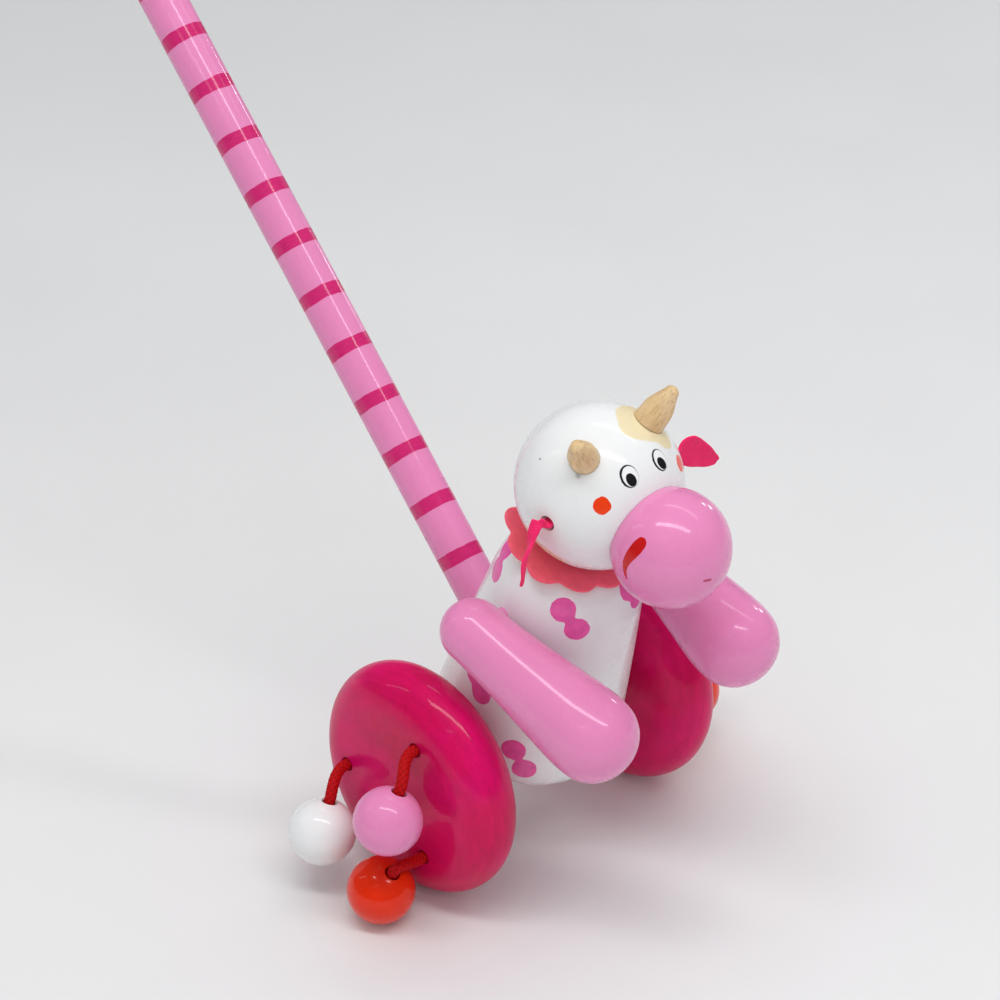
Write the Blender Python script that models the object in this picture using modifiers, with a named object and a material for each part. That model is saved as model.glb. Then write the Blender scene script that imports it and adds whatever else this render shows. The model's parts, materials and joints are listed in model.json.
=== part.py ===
"""A wooden push-along cow: two wheels on one axle, a turned body that leans forward, and a push rod.

Metres, +Z up. The floor is Z = 0, the cow faces -Y and the axle lies along X. The origin is on the floor, in
the middle of the whole toy's length. The cow's right side is at -X and its left side at +X.
"""

import math

import bmesh
import bpy
from mathutils import Matrix, Vector

# Driving dimensions
WHEEL_RADIUS = 0.045
WHEEL_THICKNESS = 0.0256
WHEEL_TRACK = 0.103
WHEEL_FLAT_RADIUS = 0.0300
GAP = 0.0003

BODY_LEAN = math.radians(17.5)
BODY_BOTTOM = -0.0110
BODY_TOP = 0.0934
BODY_RADIUS = 0.0347
BODY_WIDEST = 0.0090
BODY_BELLY_DEPTH = 0.0210
BODY_SHOULDER = 0.0765
BODY_TOP_RADIUS = 0.0165
BODY_TAPER = 0.00675
BODY_TAPER_LENGTH = 0.063
BODY_TAPER_POWER = 1.2
BODY_SHOULDER_POWER = 2.2

COLLAR_THICKNESS = 0.0014
COLLAR_RADIUS = 0.0250
COLLAR_LOBES = 10
COLLAR_LOBE_DEPTH = 0.0040
COLLAR_TURN = math.radians(1)
COLLAR_SHIFT = Vector((-0.0020, 0.0030, 0))
COLLAR_CURL_BEHIND = 0.0030

HEAD_RADIUS = 0.0297
HEAD_ALONG_BODY = 0.1242
HEAD_TURN = math.radians(-2.2)
HEAD_TILT = math.radians(-4.0)
MUZZLE_RADIUS = 0.0209
MUZZLE_DISTANCE = 0.0365
MUZZLE_DROP = math.radians(15.5)

HORN_LENGTH = 0.0156
HORN_RADIUS = {"right": 0.0052, "left": 0.0057}
HORN_TIP = 0.0027
HORN_SEAT = 0.0004
HORN_TENON_RADIUS = 0.0030
HORN_TENON_LENGTH = 0.0070
EAR_HOLE_RADIUS = 0.0028
EAR_HOLE_DEPTH = 0.0064
EAR_ROLLED_WIDTH = 0.0038
EAR_TIP_WIDTH = 0.0024
EAR_TWIST_START = 0.38
EAR_TWIST_LENGTH = 0.22
EAR_THICKNESS = 0.0012
EAR_WIDTH = 0.0130

AXLE_RADIUS = 0.0040
AXLE_DEPTH_IN_WHEEL = 0.0150
NECK_DOWEL_RADIUS = 0.0040
NECK_DOWEL_IN_BODY = 0.0150
NECK_DOWEL_IN_HEAD = 0.0140
MUZZLE_DOWEL_RADIUS = 0.0030
MUZZLE_DOWEL_DEPTH = 0.0100
WASHER_RADIUS = 0.0085
WASHER_THICKNESS = 0.0034

SHOULDER_X = 0.0424
SHOULDER_Y = -0.0185
SHOULDER_Z = 0.0680
ARM_LENGTH = 0.0554
ARM_SHOULDER_RADIUS = 0.0117
ARM_HAND_RADIUS = 0.0171
ARM_FLARE = 1.5
ARM_TOE_IN = math.radians(8.8)
ARM_DROP = {"right": math.radians(24.1), "left": math.radians(13.6)}
ARM_PIN_RADIUS = 0.0030
ARM_PIN_INNER_X = 0.0120
ARM_PIN_OUTER_X = 0.0370

ROD_RADIUS = 0.0086
ROD_LENGTH = 0.4800
ROD_LEAN = math.radians(43.2)
ROD_MEETS_BODY = 0.0163
ROD_START = 0.0060
ROD_CHAMFER = 0.0008
KNOB_RADIUS = 0.0170
KNOB_DEPTH_ON_ROD = 0.0140
KNOB_FLAT_RADIUS = 0.0060
KNOB_LIP = 0.0025
KNOB_RISE = 0.86

BEAD_RADIUS = 0.0125
CORD_RADIUS = 0.0022
CORD_HOLE_RADIUS = 0.0026
CORD_PITCH_RADIUS = 0.02637
CORD_DEPTH_IN_WHEEL = 0.0100
CORD_DEPTH_IN_BEAD = 0.0170
CORD_STRAIGHT = 0.0008
CORD_BEND = 0.38

# For each bead: its cord hole's angle on the wheel, from +Y towards +Z, where the bead's centre is from that
# hole (outboard, along Y, along Z), and the way from the bead's centre to the hole that its cord goes into.
BEADS = {
    "right": {
        "white": (-4.5, (0.0167, -0.0047, -0.0195), (-0.33, 0.01, 0.94)),
        "pink": (115.5, (0.0167, -0.0040, -0.0202), (-0.34, -0.13, 0.93)),
        "orange": (235.5, (0.0149, 0.0064, -0.0104), (-0.05, -0.48, 0.87)),
    },
    "left": {
        "white": (320.0, (0.0150, 0.0113, -0.0150), (-0.20, -0.50, 0.84)),
        "pink": (80.0, (0.0167, -0.0040, -0.0198), (-0.34, -0.10, 0.93)),
        "orange": (200.0, (0.0167, 0.0158, -0.0114), (-0.35, -0.55, 0.76)),
    },
}

# Facets
WHEEL_STEPS = 44
BODY_STEPS = 32
ARM_STEPS = 20
DOWEL_STEPS = 16
ROD_STEPS = 24
SMALL_HOLE_STEPS = 12
COLLAR_STEPS_PER_LOBE = 4
EAR_ROWS = 15
CUTTER_SIZE = 0.05
BEYOND = 0.01

# Places worked out from the driving dimensions
KNOB_ALONG_ROD = ROD_START + ROD_LENGTH - KNOB_DEPTH_ON_ROD + KNOB_RADIUS * KNOB_RISE


def rod_y(along):
    """How far behind the axle the rod's axis is, this far along it from where it meets the body's axis."""
    return -ROD_MEETS_BODY * math.sin(BODY_LEAN) + along * math.sin(ROD_LEAN)


MUZZLE_Y = -HEAD_ALONG_BODY * math.sin(BODY_LEAN) - MUZZLE_DISTANCE * math.cos(MUZZLE_DROP)
FRONT_Y = MUZZLE_Y - MUZZLE_RADIUS
BACK_Y = rod_y(KNOB_ALONG_ROD) + KNOB_RADIUS
AXLE = Vector((0.0, -(FRONT_Y + BACK_Y) / 2, WHEEL_RADIUS))
SIDES = {"right": -1, "left": 1}

BODY_FRAME = Matrix.Translation(AXLE) @ Matrix.Rotation(BODY_LEAN, 4, "X")
HEAD_CENTRE = BODY_FRAME @ Vector((0, 0, HEAD_ALONG_BODY))
HEAD_FRAME = (
    Matrix.Translation(HEAD_CENTRE) @ Matrix.Rotation(HEAD_TURN, 4, "Z") @ Matrix.Rotation(HEAD_TILT, 4, "Y")
)
ROD_FRAME = (
    Matrix.Translation(BODY_FRAME @ Vector((0, 0, ROD_MEETS_BODY))) @ Matrix.Rotation(-ROD_LEAN, 4, "X")
)


def head_direction(azimuth, elevation):
    """A direction on the head, in the head's frame: azimuth from the face towards +X, in degrees."""
    a, e = math.radians(azimuth), math.radians(elevation)
    return Vector((math.cos(e) * math.sin(a), -math.cos(e) * math.cos(a), math.sin(e)))


HORN_DIRECTIONS = {"right": head_direction(-55.7, 49.4), "left": head_direction(53.9, 53.1)}
EAR_DIRECTIONS = {"right": head_direction(-79.7, 0.4), "left": head_direction(79.7, 0.4)}
MUZZLE_DIRECTION = head_direction(0, -math.degrees(MUZZLE_DROP))


# Scene and helpers


def clear_scene():
    for obj in list(bpy.data.objects):
        bpy.data.objects.remove(obj, do_unlink=True)


def make_collection(name):
    collection = bpy.data.collections.new(name)
    bpy.context.scene.collection.children.link(collection)
    return collection


def make_material(name, colour, roughness):
    material = bpy.data.materials.new(name)
    material.use_nodes = True
    shader = material.node_tree.nodes["Principled BSDF"]
    shader.inputs["Base Color"].default_value = (*colour, 1)
    shader.inputs["Roughness"].default_value = roughness
    shader.inputs["Metallic"].default_value = 0.0
    material.diffuse_color = (*colour, 1)
    return material


def add_object(name, data, frame, material, collection):
    obj = bpy.data.objects.new(name, data)
    obj.matrix_world = frame
    data.materials.append(material)
    collection.objects.link(obj)
    return obj


def add_bmesh(name, bm, frame, material, collection, crease=40):
    mesh = bpy.data.meshes.new(name)
    bm.to_mesh(mesh)
    bm.free()
    mesh.shade_smooth()
    mesh.set_sharp_from_angle(angle=math.radians(crease))
    return add_object(name, mesh, frame, material, collection)


def turned(name, profile, frame, material, collection, steps):
    """A solid turned about the frame's Z axis, from a profile of (radius, height) points, top to bottom."""
    mesh = bpy.data.meshes.new(name)
    points = [(radius, 0, height) for radius, height in profile]
    mesh.from_pydata(points, [(i, i + 1) for i in range(len(points) - 1)], [])
    obj = add_object(name, mesh, frame, material, collection)
    screw = obj.modifiers.new("turn", "SCREW")
    screw.axis = "Z"
    screw.steps = steps
    screw.render_steps = steps
    screw.use_merge_vertices = True
    screw.merge_threshold = 0.00001
    screw.use_smooth_shade = True
    return obj


def frame_along(origin, direction):
    """A frame at origin whose Z axis points along direction."""
    turn = Vector(direction).normalized().to_track_quat("Z", "Y")
    return Matrix.Translation(origin) @ turn.to_matrix().to_4x4()


def ball(name, radius, frame, material, collection, segments, rings):
    bm = bmesh.new()
    bmesh.ops.create_uvsphere(bm, u_segments=segments, v_segments=rings, radius=radius)
    return add_bmesh(name, bm, frame, material, collection)


def rod_between(name, radius, start, end, material, collection, steps=DOWEL_STEPS, chamfer=0.0):
    """A round bar from start to end, with a chamfer at each end."""
    start, end = Vector(start), Vector(end)
    length = (end - start).length
    profile = [(0, length), (radius - chamfer, length), (radius, length - chamfer), (radius, chamfer)]
    profile += [(radius - chamfer, 0), (0, 0)]
    if not chamfer:
        profile = [(0, length), (radius, length), (radius, 0), (0, 0)]
    return turned(name, profile, frame_along(start, end - start), material, collection, steps)


def drill(obj, name, radius, start, end, steps=DOWEL_STEPS):
    """Cuts a round hole from start to end out of obj."""
    start, end = Vector(start), Vector(end)
    bm = bmesh.new()
    depth = (end - start).length
    bmesh.ops.create_cone(bm, cap_ends=True, segments=steps, radius1=radius, radius2=radius, depth=depth)
    cutter = add_bmesh(name, bm, frame_along((start + end) / 2, end - start), HOLE, CUTTERS)
    cut(obj, cutter)


def slice_off(obj, name, point, direction):
    """Cuts off all of obj that lies beyond the plane through point, on the side that direction points to."""
    bm = bmesh.new()
    bmesh.ops.create_cube(bm, size=CUTTER_SIZE)
    place = frame_along(Vector(point) + Vector(direction).normalized() * CUTTER_SIZE / 2, direction)
    cut(obj, add_bmesh(name, bm, place, HOLE, CUTTERS))


def cut(obj, cutter):
    cutter.hide_render = True
    cutter.display_type = "WIRE"
    boolean = obj.modifiers.new(cutter.name, "BOOLEAN")
    boolean.operation = "DIFFERENCE"
    boolean.solver = "EXACT"
    boolean.object = cutter


def arc(centre, radii, start, end, points):
    """Points on an ellipse's arc, as (radius, height), from the start angle to the end angle in degrees."""
    angles = [math.radians(start + (end - start) * i / (points - 1)) for i in range(points)]
    return [(centre[0] + radii[0] * math.cos(a), centre[1] + radii[1] * math.sin(a)) for a in angles]


# Profiles


def wheel_profile():
    edge = WHEEL_RADIUS - WHEEL_FLAT_RADIUS
    half = WHEEL_THICKNESS / 2
    return [(0, half)] + arc((WHEEL_FLAT_RADIUS, 0), (edge, half), 90, -90, 11) + [(0, -half)]


def body_radius(height):
    """The body's radius at a height along its axis: a rounded belly below, and a taper that closes above."""
    if height <= BODY_WIDEST:
        return BODY_RADIUS * math.sqrt(1 - ((BODY_WIDEST - height) / BODY_BELLY_DEPTH) ** 2)
    if height <= BODY_SHOULDER:
        return BODY_RADIUS - body_taper(height)
    reach = (height - BODY_SHOULDER) / (BODY_TOP - BODY_SHOULDER)
    full = BODY_RADIUS - body_taper(BODY_TOP) - BODY_TOP_RADIUS
    drop = full * (1 - math.sqrt(max(0.0, 1 - reach**BODY_SHOULDER_POWER)))
    return BODY_RADIUS - body_taper(height) - drop


def body_taper(height):
    """How much narrower the body is at a height above its widest ring, before its shoulder is rounded."""
    return BODY_TAPER * ((height - BODY_WIDEST) / BODY_TAPER_LENGTH) ** BODY_TAPER_POWER


def body_profile():
    shoulder = [BODY_TOP - (BODY_TOP - BODY_SHOULDER) * (i / 5) ** 1.8 for i in range(6)]
    side = [BODY_SHOULDER - (BODY_SHOULDER - BODY_WIDEST) * i / 5 for i in range(1, 6)]
    belly = [BODY_WIDEST + (BODY_BOTTOM - BODY_WIDEST) * math.sin(math.pi / 2 * i / 7) for i in range(1, 8)]
    heights = shoulder + side + belly
    return [(0, BODY_TOP)] + [(body_radius(h), h) for h in heights] + [(0, BODY_BOTTOM)]


def arm_profile():
    """The arm's outline along its length, from the round hand at the top to the round shoulder below."""
    hand = arc((0, ARM_LENGTH), (ARM_HAND_RADIUS, ARM_HAND_RADIUS), 90, 12, 6)
    neck = []
    for i in range(1, 6):
        along = 1 - i / 6
        grown = (ARM_HAND_RADIUS - ARM_SHOULDER_RADIUS) * along**ARM_FLARE
        neck.append((ARM_SHOULDER_RADIUS + grown, ARM_LENGTH * along))
    shoulder = arc((0, 0), (ARM_SHOULDER_RADIUS, ARM_SHOULDER_RADIUS), 0, -90, 5)
    return hand + neck + shoulder


def horn_profile(radius):
    """A blunt, full cone above the head's surface, and below it the round tenon glued into the head."""
    profile = [(0, HORN_LENGTH)] + arc((0, HORN_LENGTH - HORN_TIP), (HORN_TIP, HORN_TIP), 70, 30, 3)
    for i in range(6):
        along = 1 - i / 5
        height = HORN_SEAT + (HORN_LENGTH - HORN_TIP - HORN_SEAT) * along
        profile.append((HORN_TIP + (radius - HORN_TIP) * (1 - along**2), height))
    profile += [(HORN_TENON_RADIUS, HORN_SEAT), (HORN_TENON_RADIUS, -HORN_TENON_LENGTH)]
    return profile + [(0, -HORN_TENON_LENGTH)]


# Pieces


def make_wheel(side):
    sign = SIDES[side]
    centre = AXLE + Vector((sign * WHEEL_TRACK / 2, 0, 0))
    outward = Vector((sign, 0, 0))
    wheel = turned(f"wheel_{side}", wheel_profile(), frame_along(centre, outward), MAGENTA, TOY, WHEEL_STEPS)
    inner = centre - outward * WHEEL_THICKNESS
    bottom = centre + outward * (AXLE_DEPTH_IN_WHEEL + GAP - WHEEL_THICKNESS / 2)
    drill(wheel, f"cut_axle_hole_{side}", AXLE_RADIUS + GAP, inner, bottom)
    for colour, (angle, _, _) in BEADS[side].items():
        mouth = cord_hole(side, angle)
        deep = mouth - outward * (CORD_DEPTH_IN_WHEEL + GAP)
        beyond = mouth + outward * BEYOND
        drill(wheel, f"cut_cord_hole_{colour}_{side}", CORD_HOLE_RADIUS, beyond, deep, SMALL_HOLE_STEPS)


def cord_hole(side, angle):
    """The middle of a cord hole's mouth, on the wheel's outer face."""
    x = SIDES[side] * (WHEEL_TRACK + WHEEL_THICKNESS) / 2
    a = math.radians(angle)
    return AXLE + Vector((x, CORD_PITCH_RADIUS * math.cos(a), CORD_PITCH_RADIUS * math.sin(a)))


def cord_points(mouth, outward, centre, way_in):
    """The cord's centreline: out of the wheel, over in one bend, and down into the bead."""
    entry = centre + way_in * (BEAD_RADIUS + CORD_STRAIGHT)
    start = mouth + outward * CORD_STRAIGHT
    reach = (entry - start).length * CORD_BEND
    handles = (start, start + outward * reach, entry + way_in * reach, entry)
    points = [mouth - outward * CORD_DEPTH_IN_WHEEL, mouth - outward * CORD_DEPTH_IN_WHEEL / 2]
    for i in range(7):
        t = i / 6
        weights = ((1 - t) ** 3, 3 * t * (1 - t) ** 2, 3 * t * t * (1 - t), t**3)
        points.append(sum((w * h for w, h in zip(weights, handles)), Vector()))
    end = centre - way_in * (CORD_DEPTH_IN_BEAD - BEAD_RADIUS)
    return points + [(entry + end) / 2, end]


def make_bead(side, colour, material):
    """A bead on its cord. Both objects have their origin on the hinge axis, at the cord hole's mouth."""
    angle, offset, way_in = BEADS[side][colour]
    outward = Vector((SIDES[side], 0, 0))
    mouth = cord_hole(side, angle)
    centre = mouth + outward * offset[0] + Vector((0, offset[1], offset[2]))
    way_in = Vector((way_in[0] * SIDES[side], way_in[1], way_in[2])).normalized()
    pivot = bpy.data.objects.new(f"pivot_bead_{colour}_{side}", None)
    pivot.empty_display_size = 0.005
    pivot.matrix_world = Matrix.Translation(mouth)
    TOY.objects.link(pivot)
    bead = ball(f"bead_{colour}_{side}", BEAD_RADIUS, frame_along(centre, way_in), material, TOY, 16, 10)
    deep = centre - way_in * (CORD_DEPTH_IN_BEAD - BEAD_RADIUS + GAP)
    beyond = centre + way_in * (BEAD_RADIUS + BEYOND)
    drill(bead, f"cut_bead_{colour}_{side}", CORD_HOLE_RADIUS, beyond, deep, SMALL_HOLE_STEPS)
    curve = bpy.data.curves.new(f"cord_{colour}_{side}", "CURVE")
    curve.dimensions = "3D"
    curve.bevel_depth = CORD_RADIUS
    curve.bevel_resolution = 2
    curve.use_fill_caps = True
    line = curve.splines.new("POLY")
    points = cord_points(mouth, outward, centre, way_in)
    line.points.add(len(points) - 1)
    for spot, point in zip(line.points, points):
        spot.co = (*(point - mouth), 1)
    cord = add_object(f"cord_{colour}_{side}", curve, Matrix.Translation(mouth), RED_CORD, TOY)
    bpy.context.view_layer.update()
    for piece in (bead, cord):
        piece.parent = pivot
        piece.matrix_parent_inverse = pivot.matrix_world.inverted()


def make_body():
    body = turned("body", body_profile(), BODY_FRAME, WHITE, TOY, BODY_STEPS)
    reach = Vector((BODY_RADIUS + BEYOND, 0, 0))
    drill(body, "cut_axle_bore", AXLE_RADIUS + GAP, AXLE - reach, AXLE + reach)
    neck = BODY_FRAME @ Vector((0, 0, BODY_TOP - NECK_DOWEL_IN_BODY - GAP))
    above = BODY_FRAME @ Vector((0, 0, BODY_TOP + BEYOND))
    drill(body, "cut_neck_hole", NECK_DOWEL_RADIUS + GAP, above, neck)
    deep = ROD_FRAME @ Vector((0, 0, ROD_START - GAP))
    outside = ROD_FRAME @ Vector((0, 0, 2 * BODY_RADIUS + BEYOND))
    drill(body, "cut_rod_hole", ROD_RADIUS + GAP, outside, deep, ROD_STEPS)
    for side, sign in SIDES.items():
        deep = shoulder_point(sign * (ARM_PIN_INNER_X - GAP))
        outside = shoulder_point(sign * (BODY_RADIUS + BEYOND))
        drill(body, f"cut_arm_pin_hole_{side}", ARM_PIN_RADIUS + GAP, outside, deep)


def shoulder_point(x):
    """A point on the arms' hinge axis."""
    return AXLE + Vector((x, SHOULDER_Y, SHOULDER_Z))


def make_arm(side):
    sign = SIDES[side]
    shoulder = shoulder_point(sign * SHOULDER_X)
    drop = Matrix.Rotation(ARM_DROP[side], 4, "X")
    forward = Vector((-sign * math.sin(ARM_TOE_IN), -math.cos(ARM_TOE_IN), 0))
    place = frame_along(shoulder, drop @ forward)
    arm = turned(f"arm_{side}", arm_profile(), place, PINK, TOY, ARM_STEPS)
    inner = shoulder_point(sign * ARM_PIN_INNER_X)
    outer = shoulder_point(sign * ARM_PIN_OUTER_X)
    beyond = shoulder_point(sign * (ARM_PIN_OUTER_X + GAP))
    drill(arm, f"cut_arm_hole_{side}", ARM_PIN_RADIUS + GAP, inner, beyond)
    rod_between(f"arm_pin_{side}", ARM_PIN_RADIUS, inner, outer, BARE_WOOD, TOY, DOWEL_STEPS)


def make_head():
    head = ball("head_ball", HEAD_RADIUS, HEAD_FRAME, WHITE, TOY, 30, 16)
    seat = BODY_FRAME @ Vector((0, 0, BODY_TOP + COLLAR_THICKNESS + 2 * GAP))
    down = BODY_FRAME.to_3x3() @ Vector((0, 0, -1))
    slice_off(head, "cut_neck_seat", seat, down)
    top = BODY_FRAME @ Vector((0, 0, BODY_TOP + NECK_DOWEL_IN_HEAD + GAP))
    drill(head, "cut_head_neck_hole", NECK_DOWEL_RADIUS + GAP, seat + down * BEYOND, top)
    axis = HEAD_FRAME.to_3x3() @ MUZZLE_DIRECTION
    ahead = (MUZZLE_DISTANCE**2 + HEAD_RADIUS**2 - MUZZLE_RADIUS**2) / (2 * MUZZLE_DISTANCE)
    joint = HEAD_CENTRE + axis * ahead
    slice_off(head, "cut_muzzle_seat", joint - axis * GAP / 2, axis)
    deep = joint - axis * (MUZZLE_DOWEL_DEPTH + GAP)
    drill(head, "cut_head_muzzle_hole", MUZZLE_DOWEL_RADIUS + GAP, joint + axis * BEYOND, deep)

    muzzle_centre = HEAD_CENTRE + axis * MUZZLE_DISTANCE
    muzzle = ball("muzzle_ball", MUZZLE_RADIUS, frame_along(muzzle_centre, axis), PINK, TOY, 24, 14)
    slice_off(muzzle, "cut_muzzle_back", joint + axis * GAP / 2, -axis)
    far = joint + axis * (MUZZLE_DOWEL_DEPTH + GAP)
    drill(muzzle, "cut_muzzle_hole", MUZZLE_DOWEL_RADIUS + GAP, joint - axis * BEYOND, far)
    ends = joint - axis * MUZZLE_DOWEL_DEPTH, joint + axis * MUZZLE_DOWEL_DEPTH
    rod_between("muzzle_dowel", MUZZLE_DOWEL_RADIUS, *ends, BARE_WOOD, TOY)

    for side in SIDES:
        make_horn(side, head)
        make_ear(side, head)


def make_horn(side, head):
    outward = HEAD_FRAME.to_3x3() @ HORN_DIRECTIONS[side]
    root = HEAD_CENTRE + outward * HEAD_RADIUS
    place = frame_along(root, outward)
    turned(f"horn_{side}", horn_profile(HORN_RADIUS[side]), place, BARE_WOOD, TOY, DOWEL_STEPS)
    above = root + outward * BEYOND
    deep = root - outward * (HORN_TENON_LENGTH + GAP)
    drill(head, f"cut_horn_hole_{side}", HORN_TENON_RADIUS + GAP, above, deep)
    seat = root + outward * (HORN_SEAT - GAP)
    drill(head, f"cut_horn_seat_{side}", HORN_RADIUS[side] + GAP, above, seat)


def ear_route(side):
    """The ear's middle line in the head's frame, from its hole to its tip, and the ways it is wide at each end."""
    sign = SIDES[side]
    outward = EAR_DIRECTIONS[side]
    root = outward * HEAD_RADIUS
    if side == "right":
        over = root + Vector((sign * 0.0040, 0.0002, 0.0024))
        tip = root + Vector((sign * 0.0096, 0.0036, -0.0226))
        middle = over.lerp(tip, 0.42) + Vector((sign * 0.0012, 0, 0))
        wide = Vector((0.73, -0.69, 0)), Vector((-0.75, -0.66, 0.05))
    else:
        over = root + Vector((sign * 0.0062, 0, 0.0004))
        tip = root + Vector((sign * 0.0234, 0.0010, -0.0130))
        middle = over.lerp(tip, 0.5) + Vector((0, 0, -0.0002))
        wide = Vector((0.40, -0.15, 0.90)), Vector((0.40, -0.15, 0.90))
    return [root - outward * 0.0055, root + outward * 0.0020, over, middle, tip], wide


def ease(share):
    """The share, held between 0 and 1, with a soft start and end."""
    held = min(1.0, max(0.0, share))
    return held * held * (3 - 2 * held)


def smooth_line(points, count):
    """Points on a smooth curve through the given ones."""
    ends = [2 * points[0] - points[1]] + points + [2 * points[-1] - points[-2]]
    line = []
    for i in range(count):
        place = (len(points) - 1) * i / (count - 1)
        k = min(int(place), len(points) - 2)
        t = place - k
        a, b, c, d = ends[k : k + 4]
        squared, cubed = 2 * a - 5 * b + 4 * c - d, 3 * b - a - 3 * c + d
        line.append(0.5 * (2 * b + (c - a) * t + squared * t**2 + cubed * t**3))
    return line


def leaf_width(side, share):
    """An ear's width this share of the way along it: rolled up in its hole, then a leaf with a round tip."""
    if side == "right":
        reach = max(0.0, (share - 0.58) / 0.42)
        leaf = math.sin(math.pi * reach**0.85) ** 0.7
    else:
        reach = max(0.0, (share - 0.31) / 0.69)
        leaf = min(1.0, 3.2 * reach) ** 0.8 * (1 - reach**2.2) ** 0.6
    return max(EAR_ROLLED_WIDTH, EAR_WIDTH * leaf) if share < 1 else EAR_TIP_WIDTH


def make_ear(side, head):
    """A felt leaf, rolled narrow where it is glued into its hole in the head."""
    route, wide = ear_route(side)
    line = smooth_line(route, EAR_ROWS)
    last = EAR_ROWS - 1
    bm = bmesh.new()
    rows = []
    for i, point in enumerate(line):
        along = line[min(i + 1, last)] - line[max(i - 1, 0)]
        across = wide[0].lerp(wide[1], ease((i / last - EAR_TWIST_START) / EAR_TWIST_LENGTH))
        across -= along * (across.dot(along) / along.length_squared)
        edge = across.normalized() * leaf_width(side, i / last) / 2
        rows.append([bm.verts.new(point + edge * s) for s in (-1, -0.5, 0, 0.5, 1)])
    for row, following in zip(rows, rows[1:]):
        for k in range(4):
            bm.faces.new((row[k], row[k + 1], following[k + 1], following[k]))
    ear = add_bmesh(f"ear_{side}", bm, HEAD_FRAME, FELT_PINK, TOY, 60)
    thicken = ear.modifiers.new("felt", "SOLIDIFY")
    thicken.thickness = EAR_THICKNESS
    thicken.offset = 0
    outward = HEAD_FRAME.to_3x3() @ EAR_DIRECTIONS[side]
    surface = HEAD_CENTRE + outward * HEAD_RADIUS
    outside, deep = surface + outward * BEYOND, surface - outward * EAR_HOLE_DEPTH
    drill(head, f"cut_ear_hole_{side}", EAR_HOLE_RADIUS, outside, deep, SMALL_HOLE_STEPS)


def make_neck():
    ends = BODY_TOP - NECK_DOWEL_IN_BODY, BODY_TOP + NECK_DOWEL_IN_HEAD
    start, end = (BODY_FRAME @ Vector((0, 0, z)) for z in ends)
    rod_between("neck_dowel", NECK_DOWEL_RADIUS, start, end, BARE_WOOD, TOY)

    bm = bmesh.new()
    steps = COLLAR_LOBES * COLLAR_STEPS_PER_LOBE
    rings = []
    for share in (0.0, 0.45, 0.8, 1.0):
        angles = [2 * math.pi * i / steps for i in range(steps)]
        rings.append([bm.verts.new(collar_point(angle, share)) for angle in angles])
    for ring, wider in zip(rings, rings[1:]):
        for i in range(steps):
            j = (i + 1) % steps
            bm.faces.new((ring[i], wider[i], wider[j], ring[j]))
    place = BODY_FRAME @ Matrix.Translation((0, 0, BODY_TOP + GAP + COLLAR_THICKNESS / 2))
    collar = add_bmesh("felt_collar", bm, place, FELT_CORAL, TOY, 60)
    thicken = collar.modifiers.new("felt", "SOLIDIFY")
    thicken.thickness = COLLAR_THICKNESS
    thicken.offset = 0


def collar_point(angle, share):
    """A point on the collar's middle layer, from the neck dowel at share 0 to the scallops at share 1."""
    way = Vector((math.cos(angle), math.sin(angle), 0))
    scallop = abs(math.sin((angle - COLLAR_TURN) * COLLAR_LOBES / 2)) ** 0.65
    edge = COLLAR_SHIFT + way * (COLLAR_RADIUS - COLLAR_LOBE_DEPTH * (1 - scallop))
    point = (way * (NECK_DOWEL_RADIUS + GAP)).lerp(edge, share)
    over = max(0.0, point.length - BODY_TOP_RADIUS) / (COLLAR_RADIUS - BODY_TOP_RADIUS)
    behind = 0.5 + 0.5 * math.sin(angle)
    point.z = COLLAR_CURL_BEHIND * behind**2 * over**2
    return point


def make_axle():
    half = WHEEL_TRACK / 2 - WHEEL_THICKNESS / 2
    reach = Vector((half + AXLE_DEPTH_IN_WHEEL, 0, 0))
    rod_between("axle_dowel", AXLE_RADIUS, AXLE - reach, AXLE + reach, BARE_WOOD, TOY)
    for side, sign in SIDES.items():
        outer = half - GAP
        inner = outer - WASHER_THICKNESS
        hole = AXLE_RADIUS + GAP
        rim = [(WASHER_RADIUS, outer), (WASHER_RADIUS, inner)]
        profile = rim + [(hole, inner), (hole, outer), rim[0]]
        turned(f"washer_{side}", profile, frame_along(AXLE, (sign, 0, 0)), WHITE, TOY, DOWEL_STEPS)


def make_rod():
    start = ROD_FRAME @ Vector((0, 0, ROD_START))
    end = ROD_FRAME @ Vector((0, 0, ROD_START + ROD_LENGTH))
    rod_between("push_rod", ROD_RADIUS, start, end, PINK, TOY, ROD_STEPS, ROD_CHAMFER)
    low = math.degrees(math.acos((ROD_RADIUS + KNOB_LIP) / KNOB_RADIUS))
    high = math.degrees(math.acos(KNOB_FLAT_RADIUS / KNOB_RADIUS))
    rounded = arc((0, 0), (KNOB_RADIUS, KNOB_RADIUS), high, -low, 11)
    profile = [(0, rounded[0][1])] + rounded + [(0, rounded[-1][1])]
    place = ROD_FRAME @ Matrix.Translation((0, 0, KNOB_ALONG_ROD))
    knob = turned("rod_knob", profile, place, MAGENTA, TOY, ROD_STEPS)
    below = place @ Vector((0, 0, -KNOB_RADIUS - BEYOND))
    top = ROD_FRAME @ Vector((0, 0, ROD_START + ROD_LENGTH + GAP))
    drill(knob, "cut_knob_hole", ROD_RADIUS + GAP, below, top, ROD_STEPS)


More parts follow.
